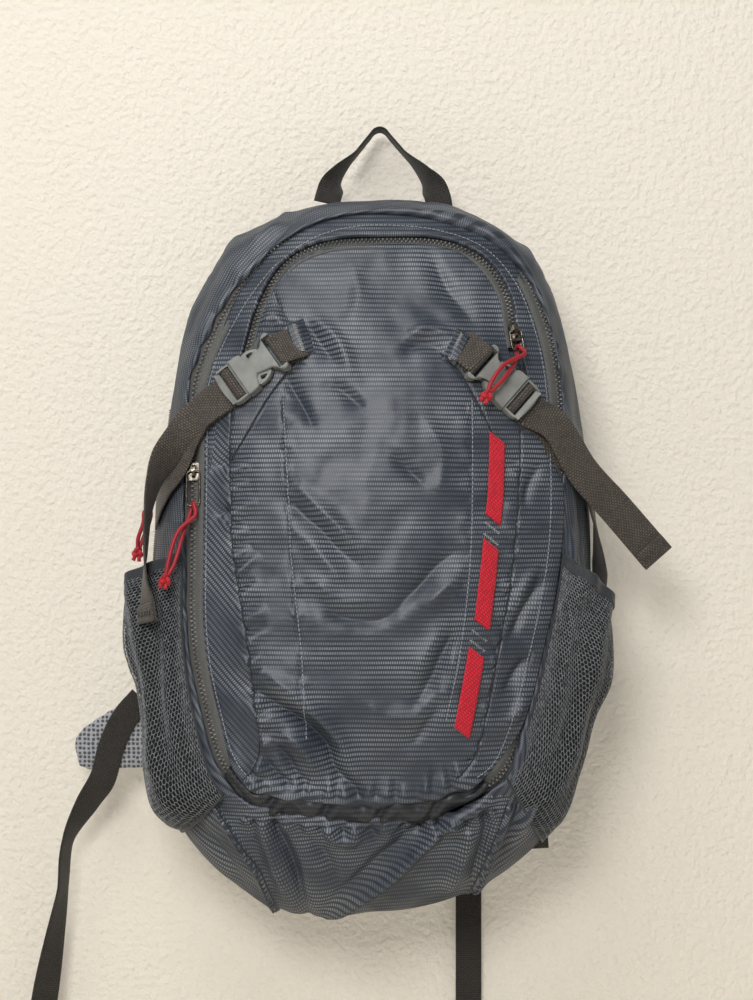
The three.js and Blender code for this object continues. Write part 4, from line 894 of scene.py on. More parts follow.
@dataclass
class BagForm:
    """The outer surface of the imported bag, from the same outlines as its solids."""

    body: Outline
    zip: Outline
    pocket: Outline

    def __post_init__(self) -> None:
        """Keeps two of the outlines as functions of the angle."""
        self.body_reach = self.body.reach()
        self.zip_reach = self.zip.reach()

    def rim_depth(self, z: Num) -> Array:
        """Depth of the bag at the main zip's height."""
        return RIM_DEPTH + RIM_SLOPE * (RIM_TOP_Z - np.asarray(z, float))

    def depth(self, angle: Num, radius: Num) -> Array:
        """Depth of the outer surface at an angle and a distance from the centre."""
        zip_r = self.zip_reach(angle)
        inside = np.clip(1 - (radius / zip_r) ** 2, 0, 1)
        front = self.rim_depth(CENTRE_Z + radius * np.sin(angle))
        front = front + FRONT_BULGE * inside ** BULGE_POWER
        v = np.clip((radius - zip_r) / (self.body_reach(angle) - zip_r), 0, 1)
        zip_z = CENTRE_Z + zip_r * np.sin(angle)
        side = self.rim_depth(zip_z) * (1 - v ** SIDE_POWER) ** (1 / SIDE_POWER)
        return np.where(radius <= zip_r, front, side)

    def polar(self, angle: Num, radius: Num, depth: Num) -> Array:
        """Point at an angle, distance and depth."""
        angle, radius, depth = np.broadcast_arrays(angle, radius, depth)
        return np.stack([CENTRE_X + radius * np.cos(angle), BACK_Y - depth,
                         CENTRE_Z + radius * np.sin(angle)], -1)

    def on_front(self, x: Num, z: Num, lift: Num = 0.0) -> Array:
        """Point on the front of the bag, lifted towards the viewer."""
        x, z = np.asarray(x, float), np.asarray(z, float)
        radius = np.hypot(x - CENTRE_X, z - CENTRE_Z)
        y = BACK_Y - self.depth(angle_of(x, z), radius) - lift
        return np.stack(np.broadcast_arrays(x, y, z), -1)

    def out_of_front(self, x: Num, z: Num) -> Array:
        """Direction straight out of the front at a point."""
        e = 4.0
        dx = (self.on_front(x + e, z)[..., 1] - self.on_front(x - e, z)[..., 1]) / (2 * e)
        dz = (self.on_front(x, z + e)[..., 1] - self.on_front(x, z - e)[..., 1]) / (2 * e)
        return unit(np.stack(np.broadcast_arrays(dx, -1.0, dz), -1))

    def on_side(self, angle: Num, v: Num) -> Array:
        """Point on the gusset; v is 0 at the main zip and 1 at the back panel."""
        zip_r = self.zip_reach(angle)
        depth = self.rim_depth(CENTRE_Z + zip_r * np.sin(angle))
        share = np.clip(1 - np.clip(v, 0, 1) ** SIDE_POWER, 0, 1) ** (1 / SIDE_POWER)
        return self.polar(angle, mix(zip_r, self.body_reach(angle), v), depth * share)

    def out_of_side(self, angle: Num, v: Num) -> Array:
        """Direction straight out of the gusset at a place."""
        e = 0.02
        across = self.on_side(angle, np.minimum(v + e, 1)) - self.on_side(angle, np.abs(v - e))
        along = self.on_side(angle + e, v) - self.on_side(angle - e, v)
        out = unit(np.cross(across, along))
        away = np.stack([np.cos(angle), np.zeros_like(angle), np.sin(angle)], -1)
        return out * np.where(np.sum(out * away, -1, keepdims=True) < 0, -1, 1)

    def off_side(self, angle: Num, v: Num, lift: Num) -> Array:
        """Point lifted off the gusset along its own normal."""
        angle, v, lift = np.broadcast_arrays(*(np.asarray(a, float) for a in (angle, v, lift)))
        return self.on_side(angle, v) + self.out_of_side(angle, v) * lift[..., None]

    def front_mark(self, x: float, z: float, lift: float, heading: Sequence[float]) -> tuple:
        """A place just off the front, with a strap's width square to a heading."""
        out = self.out_of_front(x, z)
        return self.on_front(x, z) + out * lift, unit(np.cross(out, heading))

    def side_mark(self, degrees: float, v: float, lift: float,
                  heading: Sequence[float]) -> tuple:
        """A place just off the gusset, with a strap's width square to a heading."""
        angle = np.float64(math.radians(degrees))
        p = self.off_side(angle, v, lift)
        return p, unit(np.cross(p - self.off_side(angle, v, 0), heading))


FORM = BagForm(Outline(BODY_MARKS), Outline(ZIP_MARKS), Outline(POCKET_MARKS))


def ripple(points: Array, size: float, seed: float) -> Array:
    """Smooth uneven height over a surface, between -1 and 1, the same on every run."""
    p = points / size + seed
    total = np.zeros(points.shape[:-1])
    for k in range(4):
        turn = 1.7 * k + seed
        wave = (math.cos(turn) * p[..., 0] + math.sin(turn) * p[..., 2]
                + 0.6 * np.sin(1.3 * p[..., (k % 2) * 2] + seed * k))
        total += np.sin(wave * (1 + 0.45 * k)) / (1 + 0.5 * k)
    return total / 2.4


def nearest(line: Array, x: Array, z: Array) -> tuple[Array, Array]:
    """Distance of points to a line seen from the front, and how far along it they are.

    Args:
        line: points of (x, z).
        x: of the points.
        z: of the points.
    Returns:
        The distance, positive on the line's left, and the share of the line passed.
    """
    s = lengths_along(line) / lengths_along(line)[-1]
    best, place = np.full(x.shape, 1e9), np.zeros(x.shape)
    for a, b, sa, sb in zip(line, line[1:], s, s[1:]):
        d = b - a
        t = np.clip(((x - a[0]) * d[0] + (z - a[1]) * d[1]) / max(d @ d, 1e-9), 0, 1)
        dx, dz = x - a[0] - t * d[0], z - a[1] - t * d[1]
        far = np.hypot(dx, dz)
        nearer = far < abs(best) - 1e-9
        side = np.where(d[0] * dz - d[1] * dx < 0, -1.0, 1.0)
        best = np.where(nearer, far * side, best)
        place = np.where(nearer, mix(sa, sb, t), place)
    return best, place


@dataclass(frozen=True)
class Crease:
    """A fold of the cloth along a line seen from the front: raised if high is above 0.

    A rooted fold is deepest where it starts, as at a tight seam. A step makes the cloth on
    the line's left stand over that on its right, as where a seam laps one panel on another.
    """

    marks: tuple
    wide: float
    high: float
    rooted: bool = False
    step: float = 0.0

    def line(self) -> Array:
        """The fold's line as a fine polyline of (x, z)."""
        return spline_at(np.array(self.marks, float),
                         np.linspace(0, 1, max(6, 5 * len(self.marks))))

    def height(self, x: Array, z: Array) -> Array:
        """How far the fold lifts the cloth at points seen from the front."""
        line = self.line()
        room = 3.2 * max(self.wide, 9.0 if self.step else 0)
        low, high = line.min(0) - room, line.max(0) + room
        near = (x > low[0]) & (x < high[0]) & (z > low[1]) & (z < high[1])
        total = np.zeros(x.shape)
        if near.any():
            far, place = nearest(line, x[near], z[near])
            taper = (1 - place) ** 0.8 * bump(place, -0.02, 0.08) if self.rooted else \
                np.sin(np.pi * np.clip(place, 0.02, 0.98)) ** 0.5
            total[near] = self.high * taper * np.exp(-(abs(far) / self.wide) ** 1.6)
            if self.step:
                over = bump(far, -0.7, 0.7) * np.exp(-np.maximum(far, 0) / 9.0)
                groove = np.exp(-(far / 1.1) ** 2)
                total[near] += self.step * bump(place * (1 - place), 0, 0.03) \
                    * (over - 0.5 * groove)
        return total


def folded(x: Array, z: Array, creases: Sequence[Crease],
           sway: float = 1.6) -> Array:
    """Sum of several folds at points seen from the front, each swaying a little."""
    at = np.stack([x, 0 * x, z], -1)
    sx, sz = x + sway * ripple(at, 17.0, 4.0), z + sway * ripple(at, 15.0, 9.0)
    total = np.zeros(x.shape)
    for crease in creases:
        total += crease.height(x, z) if crease.step else crease.height(sx, sz)
    return total


def puckers(marks: Sequence, reach: float, spacing: float, high: float, seed: int,
            slant: float = 0.0) -> tuple[Crease, ...]:
    """Short uneven folds that run from a tight seam into the cloth.

    Args:
        marks: the seam, as points of (x, z).
        reach: the longest fold; negative for folds to the seam's right.
        spacing: mean distance from one fold to the next.
        high: height of the tallest.
        seed: of their uneven places.
        slant: how much they lean along the seam.
    Returns:
        The folds.
    """
    rng = np.random.default_rng(seed)
    line = resample(spline_at(np.array(marks, float), np.linspace(0, 1, 80)), 1.0)
    along = unit(np.gradient(line, axis=0))
    made, at = [], spacing * 0.4
    while at < len(line) - 1:
        a, way = line[int(at)], along[int(at)]
        side = np.array([-way[1], way[0]]) * math.copysign(1, reach)
        heading = unit(side + way * (slant + rng.normal(0, 0.22)))
        far = abs(reach) * rng.uniform(0.45, 1.0)
        bend = side * rng.normal(0, 0.08) * far + way * rng.normal(0, 0.1) * far
        made.append(Crease((tuple(a), tuple(a + heading * far * 0.5 + bend),
                            tuple(a + heading * far)), spacing * rng.uniform(0.2, 0.34),
                           high * rng.uniform(0.5, 1.0) * (1 if len(made) % 2 else -0.8), True))
        at += spacing * rng.uniform(0.6, 1.4) * 0.62
    return tuple(made)


def folds(*rows: tuple) -> tuple[Crease, ...]:
    """Folds from rows of x and z of each mark, the width and the height."""
    return tuple(Crease(tuple(zip(row[:-2:2], row[1:-2:2])), *row[-2:]) for row in rows)


LEFT_SEAM = ((-104, -214), (-105.5, -236), (-106.5, -252.5), (-104.6, -285), (-104, -313),
             (-99, -345), (-92, -383), (-87, -424), (-83.6, -452), (-84.5, -463),
             (-89, -473), (-97, -480.5))
RIGHT_SEAM = ((98.5, -233), (98.9, -252), (97, -280), (95, -307), (92, -338), (86, -373),
              (80, -405), (74, -434), (69.7, -452.7), (64, -467), (53, -478))
LEFT_WING = ((-57, -183), (-78, -209.5), (-90, -230), (-105, -255))
RIGHT_WING = ((42, -180), (53.5, -190), (64, -207), (73, -224), (79, -238))
LEFT_DART = ((-78, -129), (-67, -154), (-61, -160))
LEFT_STITCH = ((-70, -206), (-66, -270), (-63, -326), (-56, -389), (-53, -452))
RIGHT_STITCH = ((63, -214), (63, -270), (61, -326), (54, -389), (44, -438))
BOTTOM_HEM = ((-97, -484), (-60, -488), (-7, -491), (40, -489), (62, -482))
POCKET_SEAMS = tuple(Crease(m, 1.5, -0.3, step=s) for m, s in (
    (LEFT_SEAM, 1.1), (RIGHT_SEAM, 0.7), (LEFT_WING, -0.9), (RIGHT_WING, 0.8),
    (LEFT_DART, 0.4), (LEFT_STITCH, 0.3), (RIGHT_STITCH, -0.3)))
BASE_SEAMS = tuple(Crease(m, 4.0, -1.2, step=s) for m, s in (
    (((-119, -497), (-98, -530), (-85, -549), (-73, -588)), 1.5),
    (((90, -498), (84, -516), (75, -543), (60, -581)), -1.5)))
FRONT_CREASES = folds(
    (-53, -158, -42, -173, -31, -187, 5.0, -2.6), (-50, -154, -32, -168, -20, -192, 5.0, 1.9),
    (-66, -198, -56, -216, -45, -234, 4.5, -2.2), (-34, -203, -22, -212, -12, -220, 4.5, -1.8),
    (-84, -158, -76, -153, -68, -160, 4.5, 2.2), (-92, -176, -82, -168, -72, -166, 4.0, -1.8),
    (-60, -275, -44, -289, -30, -301, -9, -322, 5.5, 2.4),
    (-66, -284, -50, -297, -34, -312, -15, -328, 5.5, -2.6),
    (-60, -306, -40, -322, -26, -342, 6.0, 1.6),
    (-44, -352, -30, -364, -8, -368, 14, -362, 5.0, -2.2),
    (-48, -340, -30, -352, -6, -356, 5.0, 1.8),
    (-90, -414, -70, -428, -54, -438, -38, -455, -33, -470, -16, -488, 4.8, -5.2),
    (-80, -404, -58, -420, -42, -434, -26, -452, -20, -470, 6.0, 3.0),
    (-74, -455, -65, -465, -57, -478, -44, -486, 4.0, -3.0),
    (-68, -446, -54, -458, -45, -474, 4.5, 2.6), (-83, -464, -70, -478, -56, -487, 3.5, -2.8),
    (36, -112, 48, -134, 66, -158, 6.0, -1.9), (20, -168, 34, -162, 52, -168, 4.5, 2.0),
    (16, -180, 30, -174, 46, -178, 4.5, -1.8), (8, -250, 18, -262, 30, -274, 4.5, -2.2),
    (30, -226, 42, -250, 40, -280, 6.0, 1.2), (54, -318, 40, -330, 26, -346, 12, -360, 5.0, -2.8),
    (60, -334, 44, -346, 30, -362, 5.5, 2.2), (54, -374, 44, -388, 36, -405, 24, -426, 5.5, -3.0),
    (44, -372, 34, -388, 24, -404, 6.0, 1.8), (42, -426, 31, -442, 20, -452, 5.0, -2.0),
    (-10, -428, 14, -436, 40, -432, 8.0, 1.4), (114, -258, 106, -272, 100, -290, 4.5, -2.4),
    (116, -340, 102, -360, 91, -382, 4.5, -2.8), (112, -330, 100, -346, 92, -364, 4.5, 2.0),
    (110, -392, 98, -404, 87, -418, 4.5, -2.6), (104, -420, 92, -436, 76, -448, 5.0, 2.0),
    (-118, -262, -110, -256, -106, -246, 4.0, -1.8),
    (-116, -296, -110, -290, -105, -300, 3.5, -2.2), (-22, -110, -14, -136, -20, -160, 7.0, 1.1),
)
POCKET_FOLDS = (FRONT_CREASES + POCKET_SEAMS
                + puckers(LEFT_SEAM[2:], 24, 12, 2.4, 3, -0.55)
                + puckers(RIGHT_SEAM[1:], -17, 15, 1.8, 5, -0.4)
                + puckers(LEFT_SEAM[2:9], -9, 15, 1.3, 8, 0.5)
                + puckers(BOTTOM_HEM, 24, 11, 1.8, 11, 0.1)
                + puckers(LEFT_STITCH, 11, 16, 1.1, 13) + puckers(RIGHT_STITCH, -11, 17, 1.1, 17))
BASE_FOLDS = BASE_SEAMS + folds(
    (78, -494, 43, -516, 14, -544, -17, -567, -38, -579, 3.4, -3.2),
    (70, -492, 36, -508, 6, -532, -22, -556, -40, -570, 6.0, 2.0),
    (-74, -508, -66, -530, -58, -556, -52, -584, 4.5, 2.8),
    (-84, -508, -76, -532, -68, -560, 5.0, -2.2), (-40, -508, -30, -520, -12, -522, 5.0, -2.0),
    (-56, -516, -38, -534, -28, -556, 5.5, 1.8), (66, -512, 58, -536, 48, -560, 5.0, -2.2),
    (78, -504, 74, -530, 66, -556, 4.0, 2.2), (100, -494, 96, -520, 80, -552, 5.0, 2.6),
    (112, -484, 104, -508, 98, -524, 4.0, -2.4), (-140, -508, -118, -534, -96, -562, 6.0, 1.8),
) + puckers(((-100, -507), (-30, -512), (40, -510), (80, -500)), -20, 13, 2.4, 21, 0.2)
SIDE_FOLDS = folds(
    (-140, -150, -150, -200, -152, -250, 5.0, 2.2),
    (-126, -120, -142, -170, -150, -230, 4.0, -2.0),
    (-112, -100, -128, -130, -138, -170, 4.0, 1.8),
    (-150, -300, -158, -360, -150, -420, 5.0, 2.0), (126, -150, 140, -200, 146, -260, 4.5, 2.2),
    (122, -130, 134, -168, 141, -214, 3.5, -2.0), (136, -240, 148, -300, 150, -360, 5.0, 2.2),
    (132, -300, 140, -330, 146, -352, 4.0, -2.2),
    (-60, -70, -20, -66, 30, -68, 70, -80, 3.0, 1.4),
    (30, -66, 70, -76, 104, -96, 126, -120, 20.0, -4.5),
    (-84, -84, -106, -92, -126, -114, 16.0, -2.5), (-66, -68, -78, -86, -92, -100, 3.0, -2.0),
    (-58, -72, -70, -90, -84, -106, 3.5, 1.2), (-104, -96, -80, -82, -56, -74, 3.5, 1.6),
    (-98, -84, -104, -96, -112, -104, 3.0, -1.6), (96, -88, 104, -102, 110, -118, 3.0, -1.8),
) + puckers(((-96, -118), (-112, -146), (-126, -180), (-134, -240)), -14, 22, 1.6, 23) \
    + puckers(((118, -152), (125, -176), (129, -200), (132, -270)), 14, 22, 1.6, 29)


# ---------------------------------------------------------------- the bag's own cloth


def disc(columns: int, rows: int) -> tuple[Array, Array]:
    """Share of the radius and angle of a nearly square grid spread over a disc."""
    s, t = np.meshgrid(np.linspace(-1, 1, columns), np.linspace(1, -1, rows))
    x, y = s * np.sqrt(1 - t * t / 2), t * np.sqrt(1 - s * s / 2)
    return np.hypot(x, y), np.arctan2(y, x)


def tube_seam(name: str, points: Array, radius: float, finish: Finish,
              closed: bool = False, sides: int = 6) -> Object:
    """Round piping or thread along points in millimetres."""
    route = Route(points, np.tile([0.12, 1.0, 0.07], (len(points), 1)))
    return sweep(name, route, round_section(radius, sides), finish.material(), closed=closed)


def stitches(name: str, points: Array, outs: Array, finish: Finish,
             step: float = 3.2, radius: float = 0.38) -> Object:
    """A row of separate stitches along a line, each a short thread that dips at its ends.

    Args:
        name: the piece's name.
        points: the line that they follow.
        outs: direction out of the cloth at each point.
        finish: the thread.
        step: from one stitch to the next.
        radius: of the thread.
    Returns:
        One piece with every stitch.
    """
    s = lengths_along(points)
    starts = np.arange(0, s[-1] - step, step)
    shares = np.array([0.0, 0.18, 0.5, 0.82, 1.0]) * step * STITCH_SHARE
    rise = np.array([-0.3, 0.18, 0.36, 0.18, -0.3])
    at = (starts[:, None] + shares).ravel()
    out = unit(rows_at(at, s, outs))
    line = rows_at(at, s, points) + out * np.tile(rise, len(starts))[:, None]
    each = line.reshape(-1, 5, 3)
    along = unit(np.repeat(each[:, 4] - each[:, 0], 5, 0))
    across = unit(np.cross(along, out))
    sides = 5
    turn = np.linspace(0, 2 * math.pi, sides, endpoint=False)
    rings = line[:, None] + radius * (np.cos(turn)[None, :, None] * across[:, None]
                                      + np.sin(turn)[None, :, None] * out[:, None])
    faces = []
    for k in range(len(starts)):
        base = k * 5 * sides
        faces += (grid_faces(5, sides, True) + base).tolist()
        faces.append([base + i for i in range(sides)][::-1])
        faces.append([base + 4 * sides + i for i in range(sides)])
    return make_mesh(name, rings.reshape(-1, 3), faces, finish.material())


def bar_tack(name: str, a: Array, b: Array, out: Array, finish: Finish,
             wide: float = 2.2, turns: int = 16) -> Object:
    """A dense zig-zag of thread from one point to another."""
    side = unit(np.cross(out, b - a)) * wide / 2
    t = np.linspace(0, 1, 2 * turns)
    zig = np.where(np.arange(2 * turns) % 2, 1, -1)[:, None] * side
    points = a + (b - a) * t[:, None] + zig + out * 0.45
    return tube_seam(name, points, 0.36, finish)


def degrees_of(angle: Array) -> Array:
    """Angle in degrees from -180 to 180."""
    return np.degrees(np.arctan2(np.sin(angle), np.cos(angle)))


def window(value: Array, low: float, high: float, soft: float = 10.0) -> Array:
    """1 between two values, falling to 0 outside them."""
    return bump(value, low - soft, low) * (1 - bump(value, high, high + soft))


def sector(angle: Array, low: float, high: float, soft: float) -> Array:
    """1 between two angles given in degrees, falling to 0 outside them."""
    return window(degrees_of(angle), low, high, soft)


def polar_of(points: Array) -> tuple[Array, Array]:
    """Angle and distance of points from the bag's centre, seen from the front."""
    x, z = points[..., 0], points[..., 2]
    return angle_of(x, z), np.hypot(x - CENTRE_X, z - CENTRE_Z)


def patched_grain(points: Array, wrap: bool, first: Array, second: Array,
                  chosen: Callable) -> Array:
    """Corner coordinates from two layouts, as where two panels are cut at different angles.

    Args:
        points: the grid.
        wrap: whether its last column leads back to its first.
        first: coordinates of the first panel.
        second: coordinates of the second.
        chosen: tells from x and z of its middle whether a face is on the second.
    Returns:
        The coordinates of each face's corners.
    """
    faces = grid_faces(*points.shape[:2], wrap)
    centre = points.reshape(-1, 3)[faces].mean(1)
    return np.where(np.repeat(chosen(centre[:, 0], centre[:, 2]), 4)[:, None], second, first)


class Skin:
    """Finished cloth, found again by looking at it from the front."""

    def __init__(self, *sheets: Object) -> None:
        """Gathers the sheets' faces."""
        points, faces = [], []
        for sheet in sheets:
            start = len(points)
            points += [v.co / MM for v in sheet.data.vertices]
            faces += [[start + i for i in p.vertices] for p in sheet.data.polygons]
        self.tree = BVHTree.FromPolygons(points, faces)

    def look(self, x: float, z: float) -> tuple:
        """First point of the cloth behind a place, and its normal; None where there is none."""
        return self.tree.ray_cast(Vector((x, VIEW_Y, z)), Vector((0, 1, 0)))[:2]

    def drop(self, x: Array, z: Array,
             lift: Num = 0.0) -> tuple[Array, Array]:
        """Points just off the cloth, and the directions out of it.

        Args:
            x: of places seen from the front.
            z: of the places.
            lift: height over the cloth.
        Returns:
            The points and the directions.
        """
        points, outs = FORM.on_front(x, z), FORM.out_of_front(x, z)
        for i in np.ndindex(x.shape):
            hit, normal = self.look(x[i], z[i])
            if hit is not None:
                points[i] = hit
                outs[i] = unit(outs[i] + np.array(normal) * (1 if normal.y < 0 else -1))
        return points + outs * np.asarray(lift)[..., None], outs

    def covers(self, x: Array, z: Array) -> Array:
        """Whether places seen from the front have cloth behind them."""
        return np.array([self.look(a, b)[0] is not None for a, b in zip(x, z)])


@dataclass
class BagCloth:
    """The tub of gusset and back panel, the front panel and the front pocket's wall."""

    around: int = 420
    side_rows: int = 36
    ring_rows: int = 12
    thick: float = 0.9
    hem_z: float = -478.0
    flap_from: float = -121.0
    flap_to: float = -67.0
    tuck: float = 0.6  # how far a panel's edge reaches under a zip's tape
    lap_wide: float = 4.2
    lap_high: float = 3.2
    gather_high: float = 3.6  # at the hem over the base
    slider_run: tuple = (-354, -250)  # heights between which the edge keeps off the pull
    covered: tuple = (-54, 10, 10)  # degrees where the gusset laps over the pocket's wall
    hem: tuple = (-118, -71, 8)  # degrees of the gathered hem
    body_name: str = "pack"

    def lap(self, angle: Array) -> Array:
        """How far the gusset's edge laps over the main zip: not at all along its slider."""
        return (self.lap_wide * sector(angle, -50, 112, 14)
                + 3.0 * sector(angle, -54, 8, 14))

    def sheet(self, name: str, points: Array, *nodes: str, wrap: bool = False,
              grain: Array | None = None, move: Callable | None = None,
              finish: Finish = PACK_CLOTH) -> Object:
        """One cut piece of cloth, with its folds and its thickness.

        Args:
            name: the piece's name.
            points: its grid.
            nodes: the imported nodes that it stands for.
            wrap: whether the grid closes on itself.
            grain: its cloth coordinates.
            move: lays the folds on its finer points.
            finish: its cloth.
        Returns:
            The piece.
        """
        obj = grid_piece(name, points, finish.material(), wrap, grain)
        if move:
            reshape(obj, move)
        thicken(obj, self.thick)
        return dress(obj, self.body_name, "pack_cloth", *nodes)

    def gusset(self) -> Object:
        """Side, top and base in one band from the zip to the back panel."""
        angle = np.linspace(-math.pi, math.pi, self.around, endpoint=False)
        lap = self.lap(angle)
        level = CENTRE_Z + FORM.zip_reach(angle) * np.sin(angle)
        run = window(level, *self.slider_run, 12) * (np.cos(angle) < 0)
        rim = FORM.zip.reach(ZIP_HALF - self.tuck)(angle) - lap + 1.8 * run
        zip_r, edge = FORM.zip_reach(angle), FORM.body_reach(angle)
        base = window(np.degrees(angle), self.flap_from + 8, self.flap_to - 2, 8)
        rim = rim + base * (1.8 * np.sin(angle * 33) + 1.2 * np.sin(angle * 57 + 1))
        rim_v = (rim - zip_r) / (edge - zip_r)
        share = np.linspace(0, 1, self.side_rows)[:, None] ** 0.85
        v = rim_v + (1 - rim_v) * share
        points = FORM.on_side(np.broadcast_to(angle, v.shape), v)
        rise = self.lap_high * np.minimum(lap / self.lap_wide, 1) + self.gather_high * base
        points[..., 1] -= rise * np.exp(-(share / 0.13) ** 2)
        tuck = points[:1] + [0, 1, 0] * (rise + 1.2)[None, :, None]
        points = np.concatenate([tuck, points])
        ring = wrapped(points, True)
        grain = patched_grain(
            points, True, along_grain(points, True, 12),
            grid_grain(ring[..., 0], 1.2 * ring[..., 2], -4), self.on_base)
        return self.sheet("gusset", points, "rear_body", wrap=True, grain=grain,
                          move=self.fold_side)

    @staticmethod
    def on_base(x: Array, z: Array) -> Array:
        """Whether places are on the base panel, between its two seams."""
        left, right = (np.array(seam.marks)[::-1].T for seam in BASE_SEAMS)
        return (z < -492) & (x > np.interp(z, left[1], left[0])) \
            & (x < np.interp(z, right[1], right[0]))

    @staticmethod
    def fold_side(points: Array, normals: Array) -> Array:
        """Lays the gusset's folds."""
        angle, radius = polar_of(points)
        zip_r = FORM.zip_reach(angle)
        v = (radius - zip_r) / (FORM.body_reach(angle) - zip_r)
        lift = 1.6 * folded(points[:, 0], points[:, 2], SIDE_FOLDS) \
            + 3.0 * folded(points[:, 0], points[:, 2], BASE_FOLDS)
        lift += 1.5 * ripple(points, 30.0, 2.0) + 0.6 * ripple(points, 13.0, 7.0)
        rear = window(-points[:, 2], 212, 330, 14) * (points[:, 0] < 0) \
            * bump(points[:, 1], -52, -42)
        lift *= 1 - rear
        points[:, 2] -= 7 * bump(-points[:, 2], 530, 580) * bump(1 - v, 0, 0.12)
        return points + normals * (lift * bump(1 - v, 0, 0.1))[:, None]

    def back_panel(self) -> None:
        """Flat wall against the wearer's back, with the slot that the drink tube uses."""
        rho, angle = disc(90, 150)
        points = FORM.polar(angle, rho * (FORM.body_reach(angle) - 1.2), 0 * rho)
        points[..., 1] += -0.6 + 0.35 * ripple(points, 34.0, 5.0) \
            - 0.44 * np.clip(1 - rho ** 6, 0, 1)
        cloth = self.sheet("back_panel", points)
        work = bmesh.new()
        work.from_mesh(cloth.data)
        slot = [f for f in work.faces if abs(f.calc_center_median().x) < 0.016
                and -0.0955 < f.calc_center_median().z < -0.0895]
        bmesh.ops.delete(work, geom=slot, context="FACES")
        work.to_mesh(cloth.data)
        work.free()

    def front_ring(self) -> Object:
        """Front panel: the strip round the front pocket, and the wall behind it."""
        angle = np.linspace(-math.pi, math.pi, self.around, endpoint=False)
        puffed_up = window(np.degrees(angle), 66, 120, 12)
        edge = FORM.zip.reach(-ZIP_HALF + self.tuck)(angle) + 4.6 * puffed_up
        inner = np.minimum(FORM.pocket.reach(FRONT_ZIP_HALF)(angle), edge - 2.5)
        share = np.linspace(0, 1, self.ring_rows)[:, None] ** 1.5
        radius = mix(inner, edge, share)
        lift = 4.4 * puffed_up * np.exp(-share / 0.5) + 0.5 * np.sin(np.pi * share)
        strip = FORM.polar(angle, radius, FORM.depth(angle + 0 * radius, radius))
        lift = lift + (0.7 * ripple(strip, 19.0, 6.0) * np.sin(np.pi * share)
                       * window(np.degrees(angle), 52, 128))
        strip[..., 1] -= lift
        low = FORM.depth(angle, inner) - 3.4
        middle = FORM.rim_depth(CENTRE_Z) + FRONT_BULGE - 22
        k = np.array([0.0, 0.3, 0.6, 0.85, 0.97, 1.0])[:, None]
        wall = FORM.polar(angle, inner * k, mix(middle, low, k * k))
        return self.sheet("front_panel_cloth", np.concatenate([wall, strip]), "front_panel",
                          wrap=True)

    def pocket_edge(self, angle: Array) -> Array:
        """Distance of the front pocket wall's edge from the centre."""
        sewn = 1 - sector(angle, 44, 129, 18)
        covering = sector(angle, *self.covered)
        run = sector(angle, 51, 67, 7)
        by_zip = mix(FORM.pocket.reach(-FRONT_ZIP_HALF + 0.5)(angle),
                     FORM.pocket.reach(-FRONT_ZIP_HALF - 2.1)(angle), run)
        return mix(by_zip, FORM.zip.reach(-8)(angle) + 6.5 * covering, sewn)

    def front_pocket(self) -> Object:
        """Crowned outer wall of the front pocket."""
        rho, angle = disc(100, 156)
        radius = rho * self.pocket_edge(angle)
        x, z = CENTRE_X + radius * np.cos(angle), CENTRE_Z + radius * np.sin(angle)
        seam = np.array(LEFT_SEAM)[::-1].T
        grain = patched_grain(FORM.on_front(x, z), False, grid_grain(x, z), grid_grain(x, z, 48),
                              lambda a, b: a < np.interp(b, seam[1], seam[0]))
        return self.sheet("front_pocket_cloth", FORM.on_front(x, z, 0.9),
                          "front_pocket_panel", grain=grain, move=self.fold_front)

    def fold_front(self, points: Array, normals: Array) -> Array:
        """Lays the front pocket's folds, and rolls its gathered hem over the seam below."""
        angle, radius = polar_of(points)
        x, z = points[:, 0], points[:, 2]
        rim = np.maximum(self.pocket_edge(angle) - radius, 0)
        strip = np.array([LashStrip.marks[0], LashStrip.marks[-1]], float)
        calm = 0.25 + 0.75 * bump(abs(nearest(strip, x, z)[0]), 7, 16)
        lift = 1.85 * folded(x, z, POCKET_FOLDS)
        lift += 1.6 * ripple(points, 34.0, 1.0) + 0.6 * ripple(points, 14.0, 3.0)
        hem = sector(angle, *self.hem)
        gather = 0.5 * np.sin(x / 5.1 + 1) + 0.35 * np.sin(x / 3.3 + 2.2)
        lift = lift * calm * bump(rim, -1, 7) \
            + hem * (5.4 + 1.6 * gather) * np.exp(-(rim / 11) ** 2) * bump(rim, -0.3, 2.0)
        lift += 2.0 * sector(angle, *self.covered) * (1 - bump(rim, 5, 16))
        out = np.stack([np.cos(angle), 0 * x, np.sin(angle)], -1)
        roll = hem * (3.4 + 1.1 * gather) * np.exp(-(rim / 3.0) ** 2) * bump(rim, -1.5, 1.5)
        return points + normals * lift[:, None] * np.where(normals[:, 1:2] < 0, 1, -1) \
            + out * roll[:, None]

    def flap(self) -> None:
        """Plain strip in the hem's shadow, over the zip's lower stretch, its cloth darkened as
        painted shade.
        """
        angle = np.radians(np.linspace(self.flap_from, self.flap_to, 190))
        narrow = mix(0.45, 1.2, sector(angle, self.flap_from + 15, self.flap_to - 15, 13))
        rows = ((-11, 0.8), (-7, 2.4), (-4, 3.2), (-1, 3.4), (2, 3.2), (5, 2.2), (8, -0.5))
        strips = []
        for distance, lift in rows:
            radius = FORM.zip.reach()(angle) + distance * narrow
            x = CENTRE_X + radius * np.cos(angle)
            fold = 4.6 * abs(np.sin(x / 13 + 1.1 * np.sin(x / 6) + distance / 6)) ** 3
            strips.append(FORM.on_front(x, CENTRE_Z + radius * np.sin(angle), lift + fold))
        self.sheet("hem_flap", np.array(strips), finish=FLAP_SHADE_CLOTH, move=lambda p, n: p)

